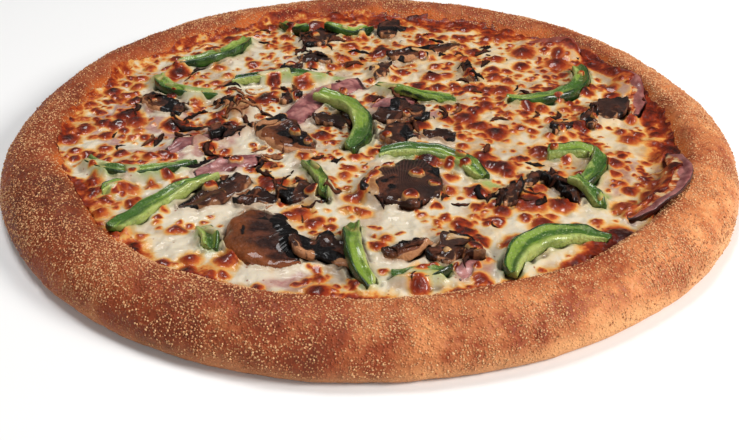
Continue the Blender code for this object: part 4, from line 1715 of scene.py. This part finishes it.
@dataclass
class Cheese:
    """The melted cheese: lumpy between the toppings, drawn over parts of them, blistered and browned."""

    dough: Dough
    finish: CheeseFinish
    plan: Plan = field(default_factory=Plan)
    level: float = 0.0158
    lumps: tuple[Pair, ...] = ((0.022, 0.0009), (0.0085, 0.0007), (0.0032, 0.0003))
    strand: float = 0.0007
    strand_width: float = 0.0052
    pocket: float = 0.0024
    cling: float = 0.0027
    film: float = 0.0006
    tuck: float = 0.0008
    underside: float = 0.0094
    blisters: int = 1500
    tries: int = 16000
    crowding: float = 1.12
    dome: float = 0.50
    smallest: float = 0.0006
    size_range: float = 0.0046
    size_curve: Pair = (0.85, 2.4)
    strengths: Pair = (0.34, 0.76)
    strength_by_size: float = 125
    sides: tuple[Side, ...] = (
        Side(-1, 0, 0.02, 0.06, 0.15, 0.06),
        Side(0, 1, 0.03, 0.06, 0.20, -0.08),
        Side(1, 0, 0.02, 0.06, 0.08, -0.06),
        Side(0, -1, 0.03, 0.05, 0.20, 0.0),
    )
    drop_growth: float = 1.4
    drop_sizes: Pair = (0.0017, 0.0030)
    drop_chances: Pair = (0.06, 0.15)
    drop_heat: float = 1.0
    drop_glow: Pair = (1.25, 2.0)
    blister_glow: Pair = (2.2, 1.0)
    widest_glow: float = 2.6
    grown: tuple[int, int] = (-2, 4)
    grown_steps: Pair = (0.8, 1.4)
    grown_sizes: Pair = (0.3, 0.7)
    rings: tuple[int, ...] = (0, 178, 250)
    seed: int = 3
    edge_seed: int = 31
    shown: tuple[str, ...] = ("roast", "toast", "thin", "mauve", "green", "umber", "crease", "cream")
    drops: tuple[Triple, ...] = (
        (-0.0025, -0.0640, 0.0024), (0.0085, -0.0475, 0.0026), (0.0025, -0.0490, 0.0020),
        (0.0210, -0.0570, 0.0028), (0.0175, -0.0760, 0.0028), (0.0290, -0.0650, 0.0022),
        (-0.0360, -0.0160, 0.0022), (-0.0290, -0.0230, 0.0018), (0.0430, -0.0470, 0.0022),
        (-0.0250, -0.0720, 0.0022), (-0.0340, -0.0640, 0.0024), (0.0180, 0.0040, 0.0020),
    )
    sunken: tuple[Triple, ...] = (
        (-0.108, 0.002, 0.030), (-0.076, -0.026, 0.018), (0.120, -0.050, 0.022), (0.104, 0.074, 0.022),
        (0.040, -0.056, 0.010), (-0.030, -0.126, 0.014), (0.020, 0.020, 0.022),
    )
    sunken_strips: tuple[Triple, ...] = (
        (-0.123, -0.044, 0.006), (-0.109, -0.048, 0.006), (-0.095, -0.048, 0.006), (-0.114, -0.067, 0.005),
        (-0.128, -0.062, 0.004), (0.020, -0.128, 0.006), (-0.002, -0.138, 0.006), (0.098, -0.068, 0.006),
        (-0.105, -0.106, 0.006), (0.052, -0.060, 0.005), (-0.020, 0.052, 0.005), (0.030, 0.036, 0.006),
    )
    fields: dict[str, Array] = field(default_factory=dict)

    def work_out(self) -> None:
        """Fills the raster: height, masks, and the top of everything for what lies on it."""
        x, y = self.plan.axes()
        radius, angle = np.hypot(x, y), np.arctan2(y, x)
        inside = self.dough.inside(angle)
        noise = Ripple(self.seed)
        level = self.level + sum(
            size * noise.layered(x, y, 0.1 * place, width, 2)
            for place, (width, size) in enumerate(self.lumps)
        )
        level += self.strand * (0.3 - np.abs(noise.layered(x, y, 4.3, self.strand_width, 2)))
        tops, exposure, kinds = self._toppings(x, y, radius < inside + 0.006)
        covered = ~np.isnan(tops)
        solid = covered.astype(float)
        under = smooth_step(self.plan.blur(solid, 0.0005) * 1.6 - 0.5)
        beside = smooth_step(self.plan.blur(solid, 0.0014) * 2.4) * (1 - under)
        uneven = 0.6 + 0.6 * noise.layered(x, y, 1.1, 0.007, 2)
        bed = level - self.pocket * under + self.cling * beside * uneven
        stack = self.plan.widen(np.where(covered, tops, level), 0.0014)
        drape = self.plan.blur(stack, 0.0016)
        drape = self.plan.blur(np.maximum(drape, np.where(covered, tops, 0)), 0.0007) + self.film
        share = self._veil(noise, x, y, exposure)
        heat, lift, bead = self._blister(noise, x, y, exposure, kinds == "m")
        share = np.maximum(share, bead * smooth_step(self.plan.blur(solid, 0.0006) * 2 - 0.7))
        near = self.plan.blur(self.plan.widen(solid, 0.0024), 0.0012)
        height = bed + (drape - bed) * smooth_step(share) * near + lift
        thin = 1 - smooth_step((height - np.where(covered, tops, -1.0) - 0.0001) / 0.0016)
        edge = smooth_step((radius - inside + 0.004) / 0.004)
        slope = self.dough.slope(np.maximum(radius, inside), angle)
        height = height * (1 - edge) + np.maximum(height, slope + 0.0004) * edge
        drift = noise.layered(x, y, 0.8, 0.016, 3)
        side = 0.5 + 0.5 * np.sin(angle + 0.5)
        toast = smooth_step((radius - inside + 0.0060 + 0.007 * drift + 0.008 * side) / 0.012)
        surface = np.fmax(np.where(covered, tops, 0.0), height)
        self.fields = {"height": height, "surface": surface, "roast": heat, "toast": toast, "thin": thin}
        self.fields.update(self._stains(noise, x, y, kinds))
        # painted shade: how far each place lies below its surroundings, darkened in the finish
        hollow = self.plan.blur(surface, 0.0016) - height
        half = self.plan.half
        self.fields["cream"] = smooth_step(0.42 + 0.9 * x / half + 0.5 * y / half + 0.4 * drift)
        self.fields["crease"] = smooth_step((hollow - 0.0002) / 0.0010) * (1 - edge)

    def _toppings(self, x: Array, y: Array, wanted: Array) -> tuple[Array, Array, Array]:
        """Finds the toppings' solids under each place.

        Args:
            x, y: the raster's places.
            wanted: where to look.

        Returns:
            How high they reach, how bare the topping there stays, and the first letter of its name.
        """
        tree, owners = solid_tree([topping.name for topping in TOPPINGS])
        tops, exposure = np.full(x.shape, np.nan), np.zeros(x.shape)
        kinds = np.full(x.shape, "")
        down = Vector((0, 0, -1))
        for i, j in zip(*np.nonzero(wanted)):
            place, _, face, _ = tree.ray_cast(Vector((x[i, j], y[i, j], ABOVE_ALL)), down)
            if place is not None:
                tops[i, j] = place.z
                exposure[i, j] = TOPPINGS[owners[face]].bareness(x[i, j], y[i, j])
                kinds[i, j] = TOPPINGS[owners[face]].name[0]
        return tops, self.plan.widen(exposure, 0.0018), kinds

    def _stains(self, noise: Ripple, x: Array, y: Array, kinds: Array) -> dict[str, Array]:
        """How much of what is under the cheese shows through it: toppings, and what lies wholly under it.

        Args:
            noise: the cheese's own noise.
            x, y: the raster's places.
            kinds: the first letter of the topping at each.

        Returns:
            The stains of ham, pepper and mushroom.
        """
        cloud = noise.layered(x, y, 5.1, 0.009, 3)
        sunk, strip = (
            np.maximum.reduce([
                smooth_step((size - np.hypot(x - cx, y - cy) + soft * cloud) / soft)
                for cx, cy, size in places
            ])
            for places, soft in ((self.sunken, 0.010), (self.sunken_strips, 0.005))
        )
        shares = {}
        for name, kind in (("mauve", "h"), ("green", "p"), ("umber", "m")):
            near = self.plan.blur(self.plan.widen((kinds == kind).astype(float), 0.0016), 0.0014)
            shares[name] = near * (0.72 + 0.6 * cloud)
        shares["mauve"] = np.maximum(shares["mauve"], sunk * smooth_step(0.50 + 1.4 * cloud) * 0.95)
        shares["green"] = np.maximum(shares["green"], strip * smooth_step(0.65 + 1.2 * cloud) * 0.85)
        murk = noise.layered(x, y, 6.3, 0.014, 3)
        shares["umber"] = np.maximum(shares["umber"], smooth_step((murk - 0.12) / 0.45) * 0.42)
        return shares

    def _veil(self, noise: Ripple, x: Array, y: Array, exposure: Array) -> Array:
        """How far the cheese is drawn over what is under it.

        Args:
            noise: the cheese's own noise.
            x, y: the raster's places.
            exposure: how bare each place stays.

        Returns:
            The share, 0 to 1, so that it covers about 1 - exposure of each topping.
        """
        cloud = noise.layered(x, y, 1.7, 0.0115, 2)
        rank = np.empty(cloud.size)
        rank[np.argsort(cloud, axis=None)] = np.linspace(0, 1, cloud.size)
        drawn = smooth_step((rank.reshape(cloud.shape) - exposure * 0.95) / 0.16)
        return self.plan.blur(drawn, 0.0006)

    def _blister(
        self, noise: Ripple, x: Array, y: Array, exposure: Array, mushrooms: Array
    ) -> tuple[Array, Array, Array]:
        """Scatters the blisters: round domes, some with smaller ones grown onto them.

        Args:
            noise: what warps the outlines.
            x, y: the raster's places.
            exposure: how bare each place stays.
            mushrooms: where there is a mushroom.

        Returns:
            How hot each place is, how much it is raised, and where a blister sits on a bare topping.
        """
        draw = np.random.default_rng(self.seed)
        warp = tuple(
            axis + 0.0009 * noise.layered(x, y, 2.1 + k, 0.0036, 3) for k, axis in enumerate((x, y))
        )
        layers = {key: np.zeros(x.shape) for key in ("heat", "lift", "bead")}
        gather = noise.layered(x, y, 7.3, 0.012, 2)
        reach = self.dough.outer - self.dough.rim_width + 0.004
        taken = np.array(self.drops)
        for cx, cy, size in self.drops:
            members = [(cx, cy, size), (cx + 0.5 * size, cy + 0.9 * size, 0.6 * size)]
            self._grow(layers, warp, members, self.drop_heat, True)
        for _ in range(self.tries):
            if len(taken) >= self.blisters:
                break
            turn, out = draw.uniform(0, 2 * math.pi), reach * math.sqrt(draw.uniform(0, 1))
            cx, cy = out * math.cos(turn), out * math.sin(turn)
            size = self.smallest + self.size_range * draw.beta(*self.size_curve)
            strength, chance = draw.uniform(*self.strengths) + self.strength_by_size * size, draw.uniform()
            spot = np.array([cx]), np.array([cy])
            sparse = 0.35 * smooth_step(np.array((-cy - 0.05) / 0.05))
            if draw.uniform() > 0.72 + 0.9 * self.plan.sample(gather, *spot)[0] - sparse:
                continue
            size *= sum((side.growth * side.share(cx, cy) for side in self.sides), 1.0)
            strength *= sum((side.heat * side.share(cx, cy) for side in self.sides), 1.0)
            away = np.hypot(taken[:, 0] - cx, taken[:, 1] - cy)
            if (away < (taken[:, 2] + size) * self.crowding).any():
                continue
            taken = np.vstack([taken, (cx, cy, size)])
            bare = self.plan.sample(exposure, *spot)[0]
            on_top = bare > 0.5
            if on_top:
                on_mushroom = self.plan.sample(mushrooms.astype(float), *spot)[0] > 0.5
                if bare > 0.95 or chance > self.drop_chances[int(on_mushroom)]:
                    continue
                size = min(max(self.drop_growth * size, self.drop_sizes[0]), self.drop_sizes[1])
            members = [(cx, cy, size)]
            for _ in range(max(0, draw.integers(*self.grown))):
                heading, step = draw.uniform(0, 2 * math.pi), size * draw.uniform(*self.grown_steps)
                small = size * draw.uniform(*self.grown_sizes)
                members.append((cx + step * math.cos(heading), cy + step * math.sin(heading), small))
            self._grow(layers, warp, members, strength, on_top)
        return layers["heat"], self.plan.blur(layers["lift"], 0.0003), layers["bead"]

    def _grow(
        self, layers: dict[str, Array], warp: tuple[Array, Array], members: list[Triple],
        strength: float, on_top: bool,
    ) -> None:
        """Adds a blister to the layers.

        Args:
            layers: heat, lift and bead over the raster.
            warp: the places of the raster, shifted a little.
            members: x, y and size of its domes, the main one first.
            strength: its heat in the middle.
            on_top: whether it is a drop of cheese on a bare topping: it keeps a pale rim.
        """
        spread, power = self.drop_glow if on_top else self.blister_glow

        def glow(away: Array) -> Array:
            """The heat, by the distance from the middle."""
            return np.clip(1 - (away / spread) ** power, 0, 1) * strength

        if on_top:
            self._raise(layers["bead"], warp, members[0], lambda away: smooth_step((1.8 - away) / 0.6))
        for member in members:
            dome = member[2] * self.dome
            self._raise(layers["heat"], warp, member, glow)
            self._raise(
                layers["lift"], warp, member, lambda away: dome * np.clip(1 - away**2 / 1.4, 0, 1) ** 0.6
            )

    def _raise(
        self, target: Array, places: tuple[Array, Array], dome: Triple,
        profile: Profile,
    ) -> None:
        """Raises a layer to a profile round a dome.

        Args:
            target: the layer.
            places: the places of the raster, shifted a little.
            dome: its x, y and size.
            profile: the layer's value, by the distance from the dome's middle in units of its size.
        """
        cx, cy, size = dome
        window = self._window(cx, cy, size * self.widest_glow)
        away = np.hypot(places[0][window] - cx, places[1][window] - cy) / size
        target[window] = np.maximum(target[window], profile(away))

    def _window(self, x: float, y: float, reach: float) -> tuple[slice, slice]:
        """The raster's places near a point.

        Args:
            x, y: the point.
            reach: how far from it, in metres.

        Returns:
            The places, as slices.
        """
        spans = []
        for value in (x, y):
            first = max(0, int((value - reach + self.plan.half) / self.plan.step))
            spans.append(slice(first, int((value + reach + self.plan.half) / self.plan.step) + 2))
        return spans[0], spans[1]

    def build(self) -> None:
        """Makes the cheese's pieces: a disc in the middle, and a band round it that is closed underneath."""
        x, y, starts = self._disc()
        heights = self.plan.sample(self.fields["height"], x, y)
        last = self.rings[-1]
        rim = starts[last] + np.arange(6 * last)
        angle = np.arctan2(y[rim], x[rim])
        heights[rim] = self.dough.slope(np.hypot(x[rim], y[rim]), angle) - 0.0004
        points = np.stack([x, y, heights], axis=1)
        masks = {key: self.plan.sample(self.fields[key], x, y) for key in self.shown}
        around = len(rim)
        skirt = []
        lowest = self.dough.wall_lean + self.tuck, self.underside
        for inset, height in ((self.tuck, self.dough.join - self.tuck), lowest):
            ring = self.dough.inside(angle) - inset
            columns = [ring * np.cos(angle), ring * np.sin(angle), np.full(around, height)]
            skirt.append(np.stack(columns, axis=1))
        first = len(points)
        points = np.vstack([points, *skirt, [0, 0, self.underside]])
        hidden = 2 * around + 1
        masks = {key: np.append(values, np.full(hidden, values[rim].mean())) for key, values in masks.items()}
        loops = [rim, first + np.arange(around), first + around + np.arange(around)]
        middle = np.full(around, len(points) - 1)
        closing = [np.stack([loops[2], np.roll(loops[2], -1), middle], axis=1)[:, ::-1]]
        for upper, lower in zip(loops, loops[1:]):
            following = np.roll(lower, -1)
            closing += [np.stack([upper, lower, following], axis=1)]
            closing += [np.stack([upper, following, np.roll(upper, -1)], axis=1)]
        parts = [self._triangles(starts, low, high) for low, high in zip(self.rings, self.rings[1:])]
        normals = self._normals(points, np.vstack([*parts, *closing]))
        parts[-1] = np.vstack([parts[-1], *closing])
        material = self.finish.material()
        for name, triangles in zip(("melted_cheese_middle", "melted_cheese_edge"), parts):
            used, index = np.unique(triangles, return_inverse=True)
            own = {key: values[used] for key, values in masks.items()}
            faces = [index.reshape(triangles.shape)]
            piece = make_piece(name, points[used], faces, own, material, ["cheese"])
            piece.data.normals_split_custom_set_from_vertices(normals[used])

    @staticmethod
    def _normals(points: Array, triangles: Array) -> Array:
        """The smooth normals of a mesh.

        Args:
            points: its points.
            triangles: its triangles.

        Returns:
            The normal at every point.
        """
        a, b, c = (points[triangles[:, k]] for k in range(3))
        flat = np.cross(b - a, c - a)
        total = np.zeros_like(points)
        for k in range(3):
            np.add.at(total, triangles[:, k], flat)
        return total / np.maximum(np.linalg.norm(total, axis=1, keepdims=True), 1e-12)

    def _disc(self) -> tuple[Array, Array, list[int]]:
        """Points in rings, 6 k on ring k, out to the cheese's uneven edge on the rim's slope.

        Returns:
            x and y of the points, and the first point of each ring.
        """
        noise = Ripple(self.edge_seed)
        last = self.rings[-1]
        xs, ys, starts = [np.zeros(1)], [np.zeros(1)], [0, 1]
        for level in range(1, last + 1):
            angle = 2 * math.pi * np.arange(6 * level) / (6 * level)
            ragged = noise.layered(np.cos(angle) * 0.14, np.sin(angle) * 0.14, 0.0, 0.012, 4)
            climb = 0.0026 + 0.0016 * (0.5 + 0.5 * np.sin(angle)) + 0.0022 * ragged
            radius = (self.dough.inside(angle) + climb) * level / last
            xs.append(radius * np.cos(angle))
            ys.append(radius * np.sin(angle))
            starts.append(starts[-1] + 6 * level)
        return np.concatenate(xs), np.concatenate(ys), starts

    @staticmethod
    def _triangles(starts: list[int], low: int, high: int) -> Array:
        """Triangles between two of the disc's rings.

        Args:
            starts: the first point of each ring.
            low, high: the inner ring and the outer one.

        Returns:
            The triangles.
        """
        triangles = []
        for level in range(low + 1, high + 1):
            outer, inner = starts[level], starts[level - 1]
            inner_count = max(1, 6 * (level - 1))
            grids = np.meshgrid(np.arange(6), np.arange(level), indexing="ij")
            side, step = (grid.reshape(-1) for grid in grids)
            a = outer + side * level + step
            b = outer + (side * level + step + 1) % (6 * level)
            c = inner + (side * (level - 1) + step) % inner_count
            d = inner + (side * (level - 1) + step + 1) % inner_count
            triangles.append(np.stack([a, b, c], axis=1))
            triangles.append(np.stack([b, d, c], axis=1)[step < level - 1])
        return np.concatenate(triangles)


@dataclass(frozen=True)
class Heap:
    """A place where slivers of mushroom lie close together, with their usual length and how pale they are."""

    x: float
    y: float
    spread: float
    count: int
    length: float
    tone: float


HEAPS: tuple[Heap, ...] = (
    Heap(-0.065, 0.028, 0.009, 10, 0.006, 0.65),
    Heap(-0.063, 0.012, 0.008, 9, 0.006, 0.70),
    Heap(-0.045, -0.060, 0.011, 10, 0.006, 0.45),
    Heap(-0.052, -0.036, 0.008, 5, 0.006, 0.50),
    Heap(-0.030, -0.062, 0.010, 12, 0.006, 0.40),
    Heap(0.022, 0.000, 0.016, 18, 0.006, 0.45),
    Heap(-0.012, -0.035, 0.012, 8, 0.005, 0.20),
    Heap(0.057, -0.071, 0.010, 10, 0.006, 0.15),
    Heap(0.078, -0.062, 0.014, 10, 0.006, 0.20),
    Heap(0.026, -0.111, 0.014, 12, 0.006, 0.35),
    Heap(-0.028, 0.104, 0.014, 16, 0.007, 0.25),
    Heap(0.034, 0.086, 0.018, 14, 0.006, 0.30),
    Heap(-0.036, 0.066, 0.018, 14, 0.006, 0.40),
    Heap(-0.104, 0.026, 0.014, 10, 0.006, 0.35),
    Heap(-0.075, 0.016, 0.018, 12, 0.006, 0.40),
    Heap(0.105, 0.000, 0.016, 8, 0.006, 0.20),
    Heap(0.060, 0.058, 0.018, 7, 0.006, 0.15),
    Heap(0.0, -0.02, 0.080, 24, 0.004, 0.25),
    Heap(-0.105, 0.000, 0.020, 9, 0.008, 0.20),
    Heap(-0.080, -0.020, 0.020, 11, 0.008, 0.25),
    Heap(-0.085, 0.040, 0.016, 7, 0.007, 0.15),
)


@dataclass
class Slivers:
    """Small burnt and browned slivers of mushroom on the cheese and the toppings."""

    cheese: Cheese
    finish: CrumbFinish
    seed: int = 17
    stations: int = 12
    section: int = 8
    reach: float = 0.139
    lengths: Pair = (0.5, 2.0)
    bends: Pair = (-0.35, 0.35)
    widths: Pair = (0.14, 0.42)
    widest: float = 0.0030
    thickest: float = 0.0012

    def build(self) -> bpy.types.Object:
        """Makes the slivers as one mesh: short bent strips with torn sides, lying on what is under them.

        Returns:
            The piece.
        """
        draw = np.random.default_rng(self.seed)
        rows = []
        for heap in HEAPS:
            x = heap.x + draw.normal(0, heap.spread, heap.count)
            y = heap.y + draw.normal(0, heap.spread, heap.count)
            length = heap.length * draw.uniform(*self.lengths, heap.count)
            rows.append(np.stack([x, y, length, np.full(heap.count, heap.tone)], axis=1))
        spots = np.vstack(rows)
        green = self.cheese.plan.sample(self.cheese.fields["green"], spots[:, 0], spots[:, 1])
        spots = spots[(np.hypot(spots[:, 0], spots[:, 1]) < self.reach) & (green < 0.3)]
        count = len(spots)
        x, y, length, tone = (spots[:, k, None] for k in range(4))
        way, bend = draw.uniform(0, 2 * math.pi, (count, 1)), draw.uniform(*self.bends, (count, 1))
        width = np.minimum(length * draw.uniform(*self.widths, (count, 1)), self.widest)
        along = np.linspace(-1, 1, self.stations)[None]
        ahead, aside = along * length / 2, bend * (1 - along**2) * length
        taper = (1 - 0.9 * np.abs(along) ** 2.5) * draw.uniform(0.65, 1.25, (count, self.stations))
        turn = 2 * math.pi * np.arange(self.section) / self.section
        ragged = draw.uniform(0.7, 1.25, (count, self.stations, self.section))
        across = (width / 2 * taper)[..., None] * np.cos(turn) * ragged + aside[..., None]
        onward = np.broadcast_to(ahead[..., None], across.shape)
        px = x[..., None] + onward * np.cos(way)[..., None] - across * np.sin(way)[..., None]
        py = y[..., None] + onward * np.sin(way)[..., None] + across * np.cos(way)[..., None]
        ground = self.cheese.plan.sample(self.cheese.fields["surface"], px, py)
        thick = np.minimum(width * 0.5, self.thickest)[..., None] * draw.uniform(0.7, 1.3, (count, 1, 1))
        pz = ground + thick * (0.30 + 0.75 * np.sin(turn)) * (0.35 + 0.65 * taper[..., None]) * ragged
        points = np.stack([px, py, pz], axis=-1).reshape(-1, 3)
        each = self.stations * self.section
        shift = (np.arange(count) * each)[:, None, None]
        quads = (tube_faces(self.stations, self.section)[None] + shift).reshape(-1, 4)[:, ::-1]
        caps = np.stack([np.arange(self.section), each - 1 - np.arange(self.section)])
        caps = (caps[None] + shift).reshape(-1, self.section)
        # painted light: each sliver paler on its top and darker on its sides and underside
        pale = np.broadcast_to(tone[..., None] + 0.25 * np.sin(turn) - 0.1, px.shape)
        pale = pale + draw.normal(0, 0.14, (count, 1, 1))
        masks, material = {"tone": pale.reshape(-1)}, self.finish.material()
        return make_piece("mushroom_slivers", points, [quads, caps], masks, material)


@dataclass(frozen=True)
class Lamp:
    """A soft rectangular light aimed at the pizza."""

    name: str
    place: Triple
    size: float
    power: float
    colour: Colour = (1.0, 1.0, 1.0)

    def build(self) -> None:
        """Hangs the lamp."""
        light = bpy.data.lights.new(self.name, "AREA")
        light.size = self.size
        light.energy = self.power
        light.color = self.colour
        lamp = bpy.data.objects.new(self.name, light)
        lamp.location = self.place
        lamp.rotation_euler = (-Vector(self.place)).to_track_quat("-Z", "Y").to_euler()
        bpy.context.scene.collection.objects.link(lamp)


@dataclass
class Studio:
    """The pale floor, the lamps and the camera of the photograph's view."""

    camera_place: Triple = (0.0, -0.4366, 0.2376)
    camera_tilt: float = math.radians(90 - 32.51)
    lens: float = 48.15
    floor_size: float = 12.0
    sky: float = 0.12
    lamps: tuple[Lamp, ...] = (
        Lamp("key", (0.95, -0.42, 0.68), 0.40, 15.0, (1.0, 0.98, 0.95)),
        Lamp("top", (-0.20, 0.30, 1.15), 0.40, 8.0),
        Lamp("front", (-0.45, -0.95, 0.70), 0.50, 2.5),
    )

    def build(self) -> None:
        """Sets the stage."""
        scene = bpy.context.scene
        half = self.floor_size / 2
        mesh = bpy.data.meshes.new("floor")
        corners = [(-half, -half, 0), (half, -half, 0), (half, half, 0), (-half, half, 0)]
        mesh.from_pydata(corners, [], [(0, 1, 2, 3)])
        mesh.materials.append(FloorFinish().material())
        floor = bpy.data.objects.new("floor", mesh)
        scene.collection.objects.link(floor)
        world = bpy.data.worlds.new("studio")
        world.use_nodes = True
        background = world.node_tree.nodes["Background"]
        background.inputs["Color"].default_value = (1.0, 1.0, 1.0, 1.0)
        background.inputs["Strength"].default_value = self.sky
        scene.world = world
        for lamp in self.lamps:
            lamp.build()
        camera = bpy.data.cameras.new("camera")
        camera.lens = self.lens
        camera.clip_start = 0.01
        eye = bpy.data.objects.new("camera", camera)
        eye.location = self.camera_place
        eye.rotation_euler = (self.camera_tilt, 0.0, 0.0)
        scene.collection.objects.link(eye)
        scene.camera = eye
        scene.view_settings.view_transform = "Standard"


def main() -> None:
    """Builds the pizza and its stage."""
    logging.basicConfig(level=logging.INFO, format="%(name)s: %(message)s")
    dough = Dough()
    crust = Crust(dough, CrustFinish())
    crust.build()
    Cornmeal(crust, CornmealFinish()).build()
    finishes = {
        PepperStrip: PepperFinish().material(),
        HamFlap: HamFinish().material(),
        MushroomCurl: MushroomFinish().material(),
    }
    finishes[MushroomSlice] = finishes[MushroomCurl]
    for topping in TOPPINGS:
        topping.build(finishes[type(topping)])
    cheese = Cheese(dough, CheeseFinish())
    cheese.work_out()
    cheese.build()
    Slivers(cheese, CrumbFinish()).build()
    Studio().build()


if __name__ == "__main__":
    main()
